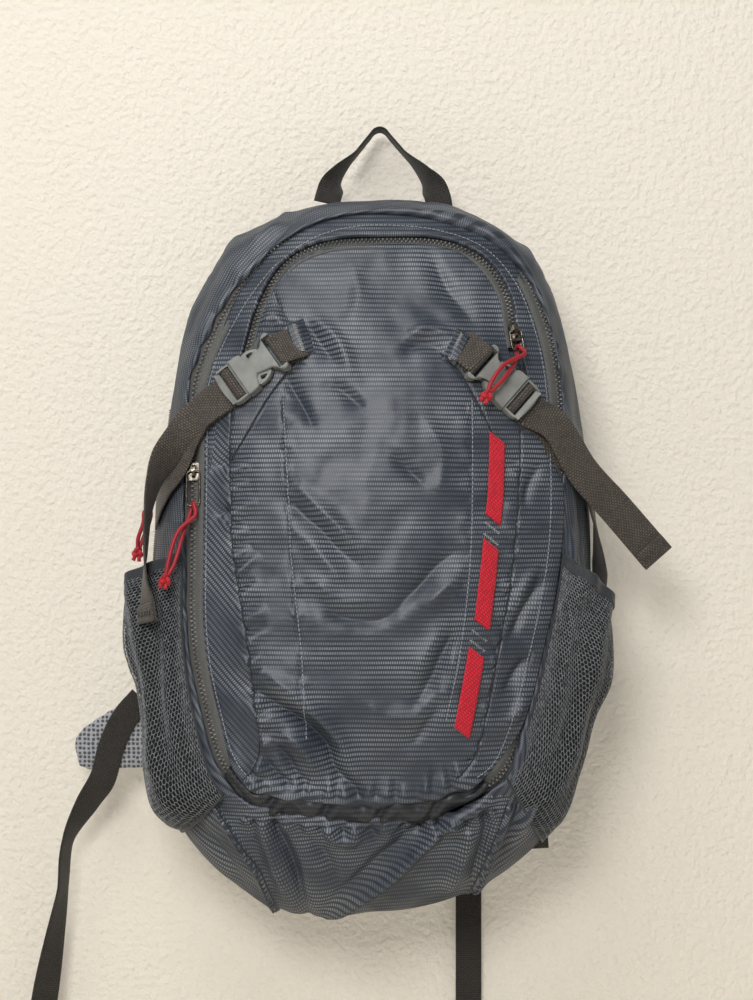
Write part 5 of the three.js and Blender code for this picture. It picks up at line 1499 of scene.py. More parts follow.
    def row(self, name: str, skin: Skin, line: Array, aside: float = 0.0) -> None:
        """A row of stitches beside a line seen from the front."""
        along = unit(np.gradient(line, axis=0))
        line = line + aside * np.stack([-along[:, 1], along[:, 0]], 1)
        points, outs = skin.drop(*resample(line, 1.6).T, self.thick + 0.2)
        dress(stitches(name, points, outs, THREAD), self.body_name, "pack_cloth")

    def seams(self, skin: Skin) -> None:
        """Piping, seam lines of painted shade and rows of stitches, laid on the finished cloth.
        """
        angle = angle_of(*FORM.body.moved(-0.8).T)
        ring = FORM.on_side(angle, np.full(angle.shape, 0.995))
        ring[:, 1] = BACK_Y - 2.2
        dress(tube_seam("back_piping", ring, 1.9, BINDING, closed=True, sides=8),
              self.body_name, "pack_cloth")
        # Near-black threads along the panel seams stand in for the shade in their grooves:
        # painted shade.
        dark = (LEFT_SEAM, RIGHT_SEAM, LEFT_WING, RIGHT_WING, LEFT_DART,
                *(seam.marks for seam in BASE_SEAMS))
        for i, marks in enumerate(dark):
            line = resample(Crease(marks, 1, 0).line(), 1.2)
            line = line[skin.covers(*line.T)]
            points, _ = skin.drop(*line.T, self.thick + 0.1)
            thread = tube_seam(f"seam_shade_line_{i}", points, 0.3 if marks is LEFT_DART else 0.6,
                               DARK_THREAD)
            dress(thread, self.body_name, "pack_cloth")
        for i, marks in enumerate((LEFT_STITCH, RIGHT_STITCH)):
            self.row(f"pocket_stitch_{i}", skin, Crease(marks, 1, 0).line(), 1.6)
        top = FORM.zip.moved(-10.4)
        top = np.roll(top, -int(np.argmax(top[:, 1] < self.hem_z)), 0)
        self.row("topstitch", skin, top[top[:, 1] > self.hem_z])

    def build(self) -> Skin:
        """Makes every cloth piece of the bag and returns its outer skin."""
        skin = Skin(self.front_pocket(), self.front_ring(), self.gusset())
        self.back_panel()
        self.flap()
        self.seams(skin)
        return skin


# ---------------------------------------------------------------- zips


def has_front_zip(angle: Array) -> Array:
    """Where the front pocket's edge is its zip and not a seam."""
    turn = degrees_of(angle)
    return (turn > degrees_of(angle_of(*FRONT_LEG_END))) \
        & (turn < degrees_of(angle_of(*POCKET_LEFT_END)))


@dataclass
class Zip:
    """Tape and coil along a line, the coil as separate turns on two sides of the middle."""

    name: str
    line: Array
    outs: Array
    half: float
    coil_half: float
    coil_top: float
    closed: bool
    nodes: tuple[str, ...]
    turn_pitch: float = 1.7

    def tape(self) -> Object:
        """Woven tape on both sides, dipping under the coil."""
        along = unit(np.gradient(self.line, axis=0))
        widths = unit(np.cross(self.outs, along))
        s, c = self.half, self.coil_half * 0.8
        section = np.array([[-s, -0.9], [-c, -0.7], [0, -0.9], [c, -0.7], [s, -0.9],
                            [s, -1.4], [0, -1.5], [-s, -1.4]])
        route = Route(self.line, widths)
        return sweep(f"{self.name}_tape", route, section, TAPE.material(), closed=self.closed)

    def coil(self) -> Object:
        """Turns of the coil: a hooked loop every other side, meshing in the middle."""
        line, outs = (np.vstack([rows, rows[:1]]) if self.closed else rows
                      for rows in (self.line, self.outs))
        s = lengths_along(line)
        count = int(s[-1] / self.turn_pitch)
        at = (np.arange(count) + 0.5) * s[-1] / count
        centre, out = rows_at(at, s, line), unit(rows_at(at, s, outs))
        along = unit(rows_at(np.minimum(at + 0.5, s[-1]), s, line)
                     - rows_at(np.maximum(at - 0.5, 0), s, line))
        across = unit(np.cross(out, along))
        w, top = self.coil_half, self.coil_top
        flip = np.where(np.arange(count) % 2, 1.0, -1.0)[:, None]
        path = np.array([[-0.16, -0.5], [0.2, 0.62], [0.62, 0.92], [0.94, 0.5], [1.0, -0.5]])
        thick, wide = 0.32 * top, self.turn_pitch * 0.36
        rings = []
        for a, h in path:
            mid = centre + across * (flip * a * w) + out * (h * top)
            rings.append(np.stack([
                mid + along * wide + out * thick * 0.2, mid + out * thick,
                mid - along * wide + out * thick * 0.2, mid - out * thick], 1))
        size = len(path) * 4
        starts = np.arange(count)[:, None, None] * size
        caps = np.array([[3, 2, 1, 0], [size - 4, size - 3, size - 2, size - 1]])
        faces = [(block[None] + starts).reshape(-1, 4)
                 for block in (grid_faces(len(path), 4, True), caps)]
        return make_mesh(f"{self.name}_coil", np.stack(rings, 1).reshape(-1, 3),
                         np.vstack(faces).tolist(), COIL.material())

    def build(self) -> None:
        """Makes both and hands them to the pack."""
        dress(self.tape(), "pack", "zip_tape", *self.nodes)
        dress(self.coil(), "pack", "zip_tape")


@dataclass
class OutlineZip(Zip):
    """A zip along one of the bag's outlines, its outer tape a darker copy as painted shade.

    Each tape is rows of (distance outward from the coil, height over the bag).
    """

    outline: Outline | None = None
    keep: Array | None = None
    pale: tuple = ()
    shade_painted_rows: tuple = ()

    def band(self, part: str, rows: tuple, finish: Finish) -> Object:
        """One side's tape."""
        places = ((*self.outline.moved(distance)[self.keep].T, lift) for distance, lift in rows)
        band = np.array([FORM.on_front(*place) for place in places])
        tape = grid_piece(f"{self.name}_tape_{part}", band, finish.material(), self.closed,
                          along_grain(band, self.closed))
        thicken(tape, 0.5)
        return tape

    def build(self) -> None:
        """Makes both tapes and the coil, and hands them to the pack."""
        dress(self.band("inner", self.pale, TAPE), "pack", "zip_tape", *self.nodes)
        dress(self.band("outer", self.shade_painted_rows, SHADE_PAINTED_TAPE), "pack", "zip_tape")
        dress(self.coil(), "pack", "zip_tape")


def main_zip() -> OutlineZip:
    """The closed loop round the front."""
    p = FORM.zip.points
    line = FORM.on_front(p[:, 0], p[:, 1])
    line[:, 1] = BACK_Y - FORM.rim_depth(p[:, 1])
    outs = np.tile([0.0, -1.0, 0.0], (len(line), 1))
    return OutlineZip("main_zip", line, outs, ZIP_HALF - GAP, 2.1, COIL_TOP, True,
                      ("main_zip",), 1.6, FORM.zip, np.arange(len(p)),
                      ((0.4, -0.9), (-2.0, -0.9), (-3.2, -0.2), (-5.0, 1.0), (-7.8, 1.5),
                       (-8.2, 0.3)),
                      ((6.6, -2.6), (3.4, -1.9), (1.9, -1.1), (0.4, -0.9)))


def front_zip() -> OutlineZip:
    """The zip over the top of the front pocket."""
    p = FORM.pocket.points
    angle = angle_of(p[:, 0], p[:, 1])
    order = np.argsort(angle)
    keep = order[has_front_zip(angle[order])]
    line = FORM.on_front(p[keep, 0], p[keep, 1], -0.8)
    return OutlineZip("front_zip", line, np.tile([0.0, -1.0, 0.0], (len(line), 1)),
                      FRONT_ZIP_HALF - GAP, 1.9, COIL_TOP * SMALL, False, ("front_zip",), 1.5,
                      FORM.pocket, keep,
                      ((0.3, -1.6), (-1.6, -1.4), (-2.8, -0.1), (-4.0, 1.6), (-6.2, 1.9),
                       (-6.5, 0.8)),
                      ((4.2, -3.4), (2.6, -3.0), (1.5, -1.8), (0.3, -1.6)))


REAR_TOP, REAR_FOOT = np.array([-158.6, -34, -216]), np.array([-171.2, -34, -326])
REAR_OUT = (-1, -0.15, 0.1)


def rear_zip(skin: Skin) -> Zip:
    """The short zip of the reservoir pocket, on the bag's cloth at its rear left edge."""
    line = np.linspace(REAR_TOP, REAR_FOOT, 60)
    for point in line:
        hit = skin.tree.ray_cast(Vector((-260, point[1], point[2])), Vector((1, 0, 0)))[0]
        point[0] = point[0] if hit is None else max(hit.x - 0.2, point[0])
    line[:, 0] = np.convolve(np.pad(line[:, 0], 6, mode="edge"), np.ones(13) / 13, "valid")
    out = Frame(REAR_TOP, REAR_FOOT - REAR_TOP, REAR_OUT).out
    return Zip("rear_zip", line, np.tile(out, (60, 1)), FRONT_ZIP_HALF, COIL_HALF, COIL_TOP,
               False, ("rear_zip",))


# ---------------------------------------------------------------- straps and hardware

BUCKLE_LIFT = 7.8
WELD_GAP, SHARP_ANGLE, FACE_WEIGHT = 0.02, 28, 60
LADDER_BAR, LADDER_BAR_R, LADDER_EXIT = 38.2, 1.7, 49.0
BAR_MIDDLE = -1.1
BUCKLE_PARTS = ("socket", "plug", "arm_upper", "arm_lower")


@dataclass(frozen=True)
class Ladder:
    """Where webbing turns in a ladder lock: the bar, its radius and the way out."""

    bar: float
    radius: float
    exit: float

    @classmethod
    def of_buckle(cls, size: float) -> "Ladder":
        """The ladder of a buckle of some size."""
        return cls(LADDER_BAR * size, LADDER_BAR_R * size, LADDER_EXIT * size)


def ladder_route(place: Frame, ladder: Ladder, thick: float, inward: Sequence[tuple],
                 outward: Sequence[tuple]) -> Route:
    """Route of webbing that comes in, turns over a ladder's bar and leaves as a tail.

    Args:
        place: the hardware's own frame.
        ladder: where the webbing turns.
        thick: of the webbing.
        inward: marks of the fixed part, up to the hardware.
        outward: marks of the tail, from the hardware.
    Returns:
        The whole route, smoothed.
    """
    bend = ladder.radius + GAP + thick / 2
    layer = thick + GAP + 0.25
    bar = ladder.bar

    def at(u: float, n: float) -> tuple:
        """A mark in the hardware's frame."""
        return place.at(u, 0, n), place.y

    wrap = [at(bar + 0.6 * bend, -bend - layer), at(bar - 0.55 * bend, -bend - 0.5 * layer),
            at(bar - bend, 0), at(bar - 0.7 * bend, 0.7 * bend), at(bar, bend),
            at(bar + 0.7 * bend, 0.7 * bend), at(bar + bend, 0),
            at(bar + bend + 0.5, 0.55 - bend)]
    turn = Route(np.array([m[0] for m in wrap]), np.array([m[1] for m in wrap]))
    fixed = Route.through([*inward, at(ladder.exit, -bend - layer)], 6)
    tail = Route.through([at(ladder.exit, -bend), *outward], 6)
    return fixed.joined(turn, tail).smoothed(1.6)


def bar_route(place: Frame, size: float, upper: Sequence, lower: Sequence,
              thick: float) -> Route:
    """Route of webbing that goes over a socket's sewn bar, round it and back."""
    bend = 1.65 * size + GAP + thick / 2
    turn = np.radians([90, 60, 30, 0, -30, -60, -90])
    arc = [place.at(BAR_MIDDLE * size + bend * math.cos(a), 0, bend * math.sin(a))
           for a in turn]
    points = np.array([*upper, *arc, *lower], float)
    return Route(points, np.tile(place.y, (len(points), 1))).smoothed(1.6)


def front_buckle(bar: tuple[float, float], lip: tuple[float, float]) -> Frame:
    """Frame of a buckle that lies on the front, from its sewn bar towards its lip."""
    origin = FORM.on_front(*bar, BUCKLE_LIFT)
    end = FORM.on_front(*lip, BUCKLE_LIFT)
    out = FORM.out_of_front((bar[0] + lip[0]) / 2, (bar[1] + lip[1]) / 2)
    return Frame(origin, end - origin, out)


def webbing(name: str, route: Route, wide: float, thick: float,
            finish: Finish = WEB) -> Object:
    """Flat webbing along a route."""
    return sweep(name, route, web_section(wide, thick), finish.material())


def folded_end(name: str, route: Route, wide: float, length: float = 13.0,
               side: float = 1.0) -> list[Object]:
    """The turned-back end of a tail, with its two zig-zag rows of stitching.

    Args:
        name: of the strap.
        route: the strap's route, whose end is folded.
        wide: its width.
        length: of the fold.
        side: which face the fold lies on.
    Returns:
        The folded layer and its stitches.
    """
    s = lengths_along(route.points)
    keep = s > s[-1] - length
    across, out = route.axes()
    flap = Route(route.points[keep] + side * out[keep] * (WEB_THICK + 0.25),
                 route.widths[keep])
    layer = webbing(f"{name}_fold", flap, wide, WEB_THICK)
    row = np.linspace(-0.42, 0.42, 11) * wide
    zig = np.where(np.arange(11) % 2, 1.0, -1.0) * 2.4
    middle = np.nonzero(keep)[0][len(np.nonzero(keep)[0]) // 2]
    along = unit(np.gradient(route.points, axis=0))[middle]
    base = route.points[middle] + side * out[middle] * (1.5 * WEB_THICK + 0.5)
    points = base + across[middle] * row[:, None] + along * zig[:, None]
    return [layer, tube_seam(f"{name}_fold_stitch", points, 0.42, DARK_THREAD)]


def hardware(nodes: Sequence[str], finish: Finish, round_off: float = 0.35) -> None:
    """Gives packed hard pieces their finish and softens their edges."""
    for name in nodes:
        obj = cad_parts[name]
        obj.data.materials.clear()
        obj.data.materials.append(finish.material())
        add_modifier(obj, "WELD", merge_threshold=WELD_GAP * MM)
        add_modifier(obj, "BEVEL", width=round_off * MM, segments=2, limit_method="ANGLE",
                     angle_limit=math.radians(SHARP_ANGLE), harden_normals=False)
        obj.data.polygons.foreach_set("use_smooth", np.ones(len(obj.data.polygons), bool))
        add_modifier(obj, "WEIGHTED_NORMAL", keep_sharp=False, weight=FACE_WEIGHT)


@dataclass
class CompressionStrap:
    """One of the two straps over the front, with its buckle, sewn tab and the tab's cover."""

    side: str
    bar: tuple[float, float]
    lip: tuple[float, float]
    tab_upper: tuple[float, float, float]
    tab_lower: tuple[float, float, float]
    cover: tuple[tuple[float, float], ...]  # outer top, outer foot, inner foot, inner top
    tack: tuple[tuple[float, float], tuple[float, float]]

    def marks(self) -> tuple[list, list]:
        """Marks of the fixed part and of the tail."""
        front, side = FORM.front_mark, FORM.side_mark
        if self.side == "left":
            down = (-0.75, 0.1, -0.66)
            fixed = [side(179, 0.9, 1.6, (-0.1, 0.8, -0.6)),
                     side(174.5, 0.8, 2.4, (-0.2, 0.7, -0.7)),
                     side(169, 0.6, 4, (-0.5, 0.4, -0.75)), side(163.5, 0.36, 5, down),
                     front(-130, -228.5, 5.4, down)]
            tail = [front(-126, -224.5, 8.4, down), ((-141, -103, -239), (0.66, 0.25, -0.7)),
                    ((-153, -104, -254), (0.55, 0.65, -0.52)),
                    ((-160.5, -106, -271), (0.3, 0.93, -0.2)),
                    ((-164.5, -108, -292), (0.08, 1, -0.05)),
                    ((-166, -111, -322), (-0.05, 1, 0)), ((-166, -115, -343), (-0.25, 0.97, 0)),
                    ((-164, -118, -357), (-0.5, 0.86, 0)), ((-163, -120, -370), (-0.58, 0.8, 0))]
            return fixed, tail
        fixed = [((162.5, -34, -364), (-0.3, 0.95, 0)), ((164, -42, -335), (-0.3, 0.95, 0.1)),
                 side(3.5, 0.84, 4, (0.1, 0.5, -0.85)), side(12, 0.62, 3.6, (0.45, 0.35, -0.8)),
                 side(17, 0.36, 4.4, (0.6, 0.1, -0.78)), side(20.5, 0.06, 6, (0.7, 0.1, -0.7))]
        tail = [front(120, -232, 8.6, (0.73, 0.1, -0.68)),
                ((145, -101, -264), (0.68, 0.25, 0.7)), ((170, -92, -291), (0.68, 0.1, 0.72)),
                ((201, -84, -326), (0.68, 0, 0.73))]
        return fixed, tail

    def build(self, skin: Skin) -> None:
        """Makes the webbing and the tab's cover, and dresses the buckle."""
        place = front_buckle(self.bar, self.lip)
        route = ladder_route(place, Ladder.of_buckle(1), WEB_THICK, *self.marks())
        name = f"{self.side}_compression"
        strap = webbing(f"{name}_webbing", route, WEB_WIDE, WEB_THICK)
        end = folded_end(name, route, WEB_WIDE, side=-1.0 if self.side == "left" else 1.0)
        dress(strap, "pack", "webbing", f"{name}_strap")
        for piece in end:
            dress(piece, "pack", "webbing")
        tab = bar_route(place, 1, [FORM.on_front(*self.tab_upper)],
                        [FORM.on_front(*self.tab_lower)], WEB_THICK)
        dress(webbing(f"{self.side}_tab_webbing", tab, WEB_WIDE, WEB_THICK), "pack",
              "webbing", f"{self.side}_tab")
        hardware([f"{self.side}_buckle_{part}" for part in BUCKLE_PARTS], BUCKLE_GREY)
        self.sewn_cover(skin)

    def sewn_cover(self, skin: Skin) -> None:
        """The cloth that laps over the tab's sewn end, and the bar tack through it."""
        c = np.array(self.cover, float)
        a, b = np.meshgrid(np.linspace(0, 1, 14), np.linspace(-0.06, 1.06, 18))
        outer, inner = (mix(c[i], c[j], b[..., None]) for i, j in ((0, 1), (3, 2)))
        at = mix(outer, inner, a[..., None])
        ends = bump(b, -0.06, 0.08) * bump(1 - b, -0.06, 0.08)
        points, _ = skin.drop(at[..., 0], at[..., 1],
                              mix(0.5, 5.2, ends * (1 - bump(a, 0.5, 0.98))))
        cloth = grid_piece(f"{self.side}_tab_cover", points, PACK_CLOTH.material(),
                           grain=along_grain(points, turn=10))
        thicken(cloth, BagCloth.thick, 0)
        dress(cloth, "pack", "pack_cloth")
        over = Skin(cloth)
        (p, q), out = over.drop(*np.array(self.tack).T, 0.2)
        dress(bar_tack(f"{self.side}_tab_tack", p, q, out[0], PALE_THREAD), "pack",
              "pack_cloth")


COMPRESSION = (
    CompressionStrap("left", (-72.8, -179.1), (-110.3, -207.4), (-55.5, -171.6, 3.8),
                     (-57, -172.8, 1.7),
                     ((-66, -161), (-58, -184), (-46.3, -179), (-54, -156.6)),
                     ((-61, -159.5), (-53.8, -179))),
    CompressionStrap("right", (70.8, -186.8), (105.2, -218.9), (56.5, -172.5, 3.8),
                     (57.8, -174, 1.7),
                     ((63, -168.5), (53, -189), (43.5, -184), (54.5, -163.5)),
                     ((58, -166.5), (48.8, -185))),
)


@dataclass
class LashStrip:
    """Red tape down the right of the front, tacked down between three open lengths."""

    marks: tuple = ((82, -236), (80.5, -280), (77, -316), (71, -368), (66, -394), (56, -450))
    spans: tuple = ((-240, -298), (-315, -371), (-390, -446))
    tacks: tuple = (-303.5, -311.5, -378.5, -385.5)
    wide: float = 10.5
    slant: float = 0.8

    def place(self, z: Array, across: Array) -> tuple[Array, Array]:
        """Where a point of the strip is, seen from the front."""
        line = np.array(self.marks, float)[::-1].T
        return np.interp(z, line[1], line[0]) + across, z - self.slant * across

    def length(self, skin: Skin, low: float, high: float) -> Object:
        """One open length of the tape, a little crowned."""
        z, a = grid(np.linspace(low, high, 40), np.linspace(-0.5, 0.5, 9))
        share = (z - low) / (high - low)
        lift = 0.9 + 1.3 * np.sin(np.pi * share) ** 0.5 * (1 - 0.3 * (2 * a) ** 4)
        points, _ = skin.drop(*self.place(z, a * self.wide), lift)
        tape = grid_piece(f"lash_red_{-int(low)}", points, RED_TAPE.material(),
                          grain=along_grain(points))
        thicken(tape, 1.0)
        return tape

    def build(self, skin: Skin) -> None:
        """Makes the red lengths and the tacks between them."""
        strip = merge("lash_red_tape", [self.length(skin, *span) for span in self.spans])
        dress(strip, "pack", "red_cord", "lash_strip")
        for i, z in enumerate(self.tacks):
            (p, q), out = skin.drop(*self.place(np.array([z, z]), np.array([-5.0, 5.0])), 0.3)
            dress(bar_tack(f"lash_tack_{i}", p, q, out[0], PALE_THREAD, 1.6, 9), "pack",
                  "pack_cloth")


@dataclass
class HaulLoop:
    """The loop of webbing that the pack hangs by."""

    def build(self) -> None:
        """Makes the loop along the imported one's route."""
        flat, turning, edge_on = (1, 0, 0), (0.5, 0.86, 0), (0, 1, 0)
        marks = [((-40, -26, -60), flat), ((-38, -24, -52), flat), ((-33, -19, -39), turning),
                 ((-20, -9, -22), edge_on), ((-8, -1, -5.5), edge_on),
                 ((-4, 0, -0.65), edge_on), ((0, 0, 0.75), edge_on), ((4, 0, -0.65), edge_on),
                 ((8, -1, -5.5), edge_on), ((21, -9, -22), edge_on),
                 ((35, -19, -39), (-0.5, 0.86, 0)), ((43, -24, -53), (-1, 0, 0)),
                 ((46, -27, -72), (-1, 0, 0))]
        loop = webbing("haul_webbing", Route.through(marks, 1.6), BELT_WIDE, WEB_THICK,
                       BELT_WEB)
        dress(loop, "pack", "webbing", "haul_loop")


# ---------------------------------------------------------------- sliders and pull cords

SLIDER_TOP = COIL_TOP + GAP + 2.1
BRIDGE_HOLE = SLIDER_TOP + 2.6


@dataclass
class PullCord:
    """A cord through a slider's wire, its two strands tied in a knot."""

    name: str
    place: Frame
    reach: float
    front: Sequence
    back: Sequence
    knot: Array
    body_name: str

    def centreline(self) -> Array:
        """Points from the knot up the front strand, through the wire and back."""
        bend = WIRE_R + GAP + CORD_R
        arc = []
        for i, degrees in enumerate((90, 120, 150, 180, 210, 240, 270)):
            turn = math.radians(degrees)
            arc.append(self.place.at(self.reach + bend * math.cos(turn), mix(1.2, -1.2, i / 6),
                                     BRIDGE_HOLE + bend * math.sin(turn)))
        first = mix(self.knot, np.array(self.front[0]), 0.12)
        last = mix(self.knot, np.array(self.back[-1]), 0.12)
        rough = np.array([first, *self.front, *arc, *self.back, last], float)
        fine = spline_at(rough, np.linspace(0, 1, 400))
        return resample(fine, lengths_along(fine)[-1] / 36)

    def build(self) -> tuple[Object, float]:
        """Makes the cord, its knot and the two short ends under the knot."""
        points = self.centreline()
        data = bpy.data.curves.new(self.name, "CURVE")
        data.dimensions = "3D"
        data.bevel_depth = CORD_R * MM
        data.bevel_resolution = 4
        data.resolution_u = 6
        line = data.splines.new("POLY")
        line.points.add(len(points) - 1)
        for point, p in zip(line.points, points * MM):
            point.co = (*p, 1)
        data.use_fill_caps = True
        data.materials.append(RED_CORD.material())
        cord = placed(self.name, data)
        knot = self.make_knot()
        dress(cord, self.body_name, "red_cord", self.name.replace("_line", ""))
        dress(knot, self.body_name, "red_cord")
        length = lengths_along(points)[-1] * MM
        return cord, length

    def make_knot(self) -> Object:
        """An overhand knot of both strands: three crossed turns, and two heat-cut ends."""
        axis = unit(self.knot - (np.array(self.front[0]) + np.array(self.back[-1])) / 2)
        side = unit(np.cross(axis, [0, 1, 0]))
        depth = np.cross(side, axis)
        t = np.linspace(0, 2 * math.pi, 60, endpoint=False)
        ring = np.stack([np.sin(t) + 1.9 * np.sin(2 * t), np.cos(t) - 1.9 * np.cos(2 * t),
                         -1.5 * np.sin(3 * t)], 1) * 1.15
        trefoil = self.knot + ring[:, :1] * side + ring[:, 1:2] * axis + ring[:, 2:] * depth
        route = Route(trefoil, unit(np.gradient(trefoil, axis=0))[:, [1, 2, 0]])
        knot = sweep(f"{self.name}_knot", route, round_section(CORD_R * 1.06, 8),
                     RED_CORD.material(), closed=True)
        ends = []
        for i, lean in enumerate((-1.0, 1.0)):
            start = self.knot + axis * 2.0 + side * lean * 1.2
            tip = start + axis * 4.5 + side * lean * 1.1
            p = np.linspace(start, tip, 6)
            ends.append(tube_seam(f"{self.name}_end_{i}", p, CORD_R, RED_CORD, sides=8))
        return merge(f"{self.name}_knot", [knot, *ends])


def main_pull() -> PullCord:
    """The cord on the main zip's slider."""
    z = -264.0
    origin = (ZIP_STRAIGHT_X, BACK_Y - float(FORM.rim_depth(z)), z)
    place = Frame(origin, (0, -RIM_SLOPE, -1), (0, -1, 0))
    reach = 25.0
    return PullCord("main_pull_cord_line", place, reach,
                    [(-149.5, -118, -330), (-142.5, -113, -306), place.at(reach + 6, 2.4, 9.2)],
                    [place.at(reach + 6, -2.4, 4.4), (-139, -108, -306), (-145.5, -115.5, -330)],
                    np.array([-151.0, -119, -340]), "main_pull")


def front_pull() -> PullCord:
    """The cord on the front pocket's slider."""
    z = -165.0
    share = (z - FRONT_LEG_TOP[1]) / (FRONT_LEG_END[1] - FRONT_LEG_TOP[1])
    x = mix(FRONT_LEG_TOP[0], FRONT_LEG_END[0], share)
    along = FORM.on_front(*FRONT_LEG_END, -0.7) - FORM.on_front(*FRONT_LEG_TOP, -0.7)
    place = Frame(FORM.on_front(x, z), along, (0.15, -1, 0))
    reach = 14.0
    return PullCord("front_pull_cord_line", place, reach,
                    [FORM.on_front(77, -203, 19), FORM.on_front(86, -190, 18),
                     place.at(reach + 4, 3.4, 11.5)],
                    [place.at(reach + 4.5, -1.5, 5.6), FORM.on_front(89, -196, 16.5),
                     FORM.on_front(80, -206, 18.5)],
                    FORM.on_front(74.4, -210.9, 19), "front_pull")


def rear_pull() -> PullCord:
    """The cord on the reservoir pocket's slider."""
    along = REAR_FOOT - REAR_TOP
    place = Frame(REAR_TOP + along * 0.58, along, REAR_OUT)
    reach = 15.0
    return PullCord("rear_pull_cord_line", place, reach,
                    [place.at(reach + 20, 1.4, 11.5), place.at(reach + 7, 2, 9)],
                    [place.at(reach + 7, -2, 4.6), place.at(reach + 20, -1.4, 8)],
                    place.at(reach + 30, 0, 10.5), "rear_pull")


# ---------------------------------------------------------------- stretch mesh pockets


@dataclass
class MeshPocket:
    """A side pocket of open net with an elastic edge."""

    name: str
    mouth: tuple[float, float]
    bottom: tuple[float, float]
    slack: tuple[tuple[float, float], ...]  # share of the way down, distance off the bag
    front: float = 0.05
    back: float = 0.96
    seat: float = 2.8
    cell: float = 3.2

    def surface(self, t: Array, s: Array, lift: float = 0.0) -> Array:
        """Point of the net: t runs down from the mouth, s from the front to the back."""
        angle = mix(mix(self.mouth[0], self.mouth[1], s),
                    mix(self.bottom[0], self.bottom[1], s), t)
        curve = spline_at(np.array(self.slack, float), np.linspace(0, 1, 80)).T
        slack = np.interp(t, curve[0], curve[1])
        spread = np.sin(np.pi * np.clip(s, 0, 1) ** 1.7) ** 0.75
        base = FORM.off_side(angle, mix(self.front, self.back, s),
                             self.seat + slack * spread + lift)
        fold = ripple(base, 24.0, 3.0) * 2.4 + 1.8 * np.sin(s * 21 + 5 * t + 2 * np.sin(6 * t))
        free = np.clip(4 * np.minimum(np.minimum(s, 1 - s), 1 - t), 0, 1)
        out = FORM.out_of_side(angle, np.clip(mix(self.front, self.back, s), 0, 0.98))
        return base + out * (fold * free)[..., None]

    def build(self) -> None:
        """Makes the net, its elastic edge and the binding round the other three sides."""
        fine = self.surface(*grid(np.linspace(0.015, 1, 56), np.linspace(0, 1, 40)))
        high = float(np.linalg.norm(np.diff(fine, axis=0), axis=2).sum(0).mean())
        wide = float(np.linalg.norm(np.diff(fine, axis=1), axis=2).sum(1).mean())
        dress(self.net(high, wide), "pack", "pocket_mesh", f"{self.name}_mesh_pocket")
        lip = self.surface(np.full(70, 0.008), np.linspace(0, 1, 70), 0.3)
        route = Route(lip, np.tile([0.05, 0.05, 1.0], (70, 1)))
        dress(webbing(f"{self.name}_pocket_elastic", route, 8.5, 1.5, BINDING), "pack",
              "pocket_mesh")
        down = np.linspace(0, 1, 60)
        edge = np.vstack([
            self.surface(down, np.zeros(60)), self.surface(np.ones(40), np.linspace(0, 1, 40)),
            self.surface(down[::-1], np.ones(60))])
        seam = tube_seam(f"{self.name}_pocket_seam", resample(edge, 3.0), 1.0, BINDING)
        dress(seam, "pack", "pocket_mesh")
        # A near-black sheet just under the net: painted shade seen through its holes.
        places = grid(np.linspace(0.03, 1, 50), np.linspace(0.01, 0.84, 40))
        under = self.surface(*places, -1.7)
        back = grid_piece(f"{self.name}_net_painted_shade", under, NET_SHADE_SHEET.material(),
                          grain=along_grain(under))
        thicken(back, 0.5)
        dress(back, "pack", "pocket_mesh")

    def net(self, high: float, wide: float) -> Object:
        """Six-sided holes in a fine knitted net, as separate cords joined at their knots."""
        across = int(wide / self.cell)
        down = int(high / (self.cell * 0.866))
        points, faces, index = [], [], {}

        def corner(i: int, j: int) -> int:
            """Number of a lattice corner, made when first used."""
            if (i, j) not in index:
                index[(i, j)] = len(points)
                points.append((i, j))
            return index[(i, j)]

        for r in range(down):
            for c in range(across):
                x0 = 2 * c + (r % 2)
                faces.append([corner(x0, 3 * r + 1), corner(x0 + 1, 3 * r),
                              corner(x0 + 2, 3 * r + 1), corner(x0 + 2, 3 * r + 3),
                              corner(x0 + 1, 3 * r + 4), corner(x0, 3 * r + 3)])
        lattice = np.array(points, float)
        s = np.clip(lattice[:, 0] / lattice[:, 0].max(), 0, 1)
        t = np.clip(lattice[:, 1] / lattice[:, 1].max(), 0, 1)
        net = make_mesh(f"{self.name}_net", self.surface(t, s), faces, NET.material())
        add_modifier(net, "WIREFRAME", thickness=0.72 * MM, use_even_offset=False,
                     use_boundary=True, use_replace=True)
        return net


def pockets() -> tuple[MeshPocket, MeshPocket]:
    """Both side pockets."""
    full = 2 * math.pi
    left = MeshPocket("left",
                      (float(angle_of(-141, -323)) + full, float(angle_of(-170, -352)) + full),
                      (float(angle_of(-107, -487)) + full, float(angle_of(-148, -533)) + full),
                      ((0, 21), (0.12, 23), (0.27, 22), (0.4, 17), (0.52, 12), (0.64, 13),
                       (0.76, 17), (0.87, 19), (0.95, 13), (1, 0)), front=0.19)
    right = MeshPocket("right", (float(angle_of(125, -323)), float(angle_of(155, -372))),
                       (float(angle_of(86, -474)), float(angle_of(121, -540))),
                       ((0, 19), (0.15, 20), (0.35, 22), (0.6, 14), (0.85, 12), (0.95, 7),
                        (1, 0)))
    return left, right


# ---------------------------------------------------------------- back, harness and belt


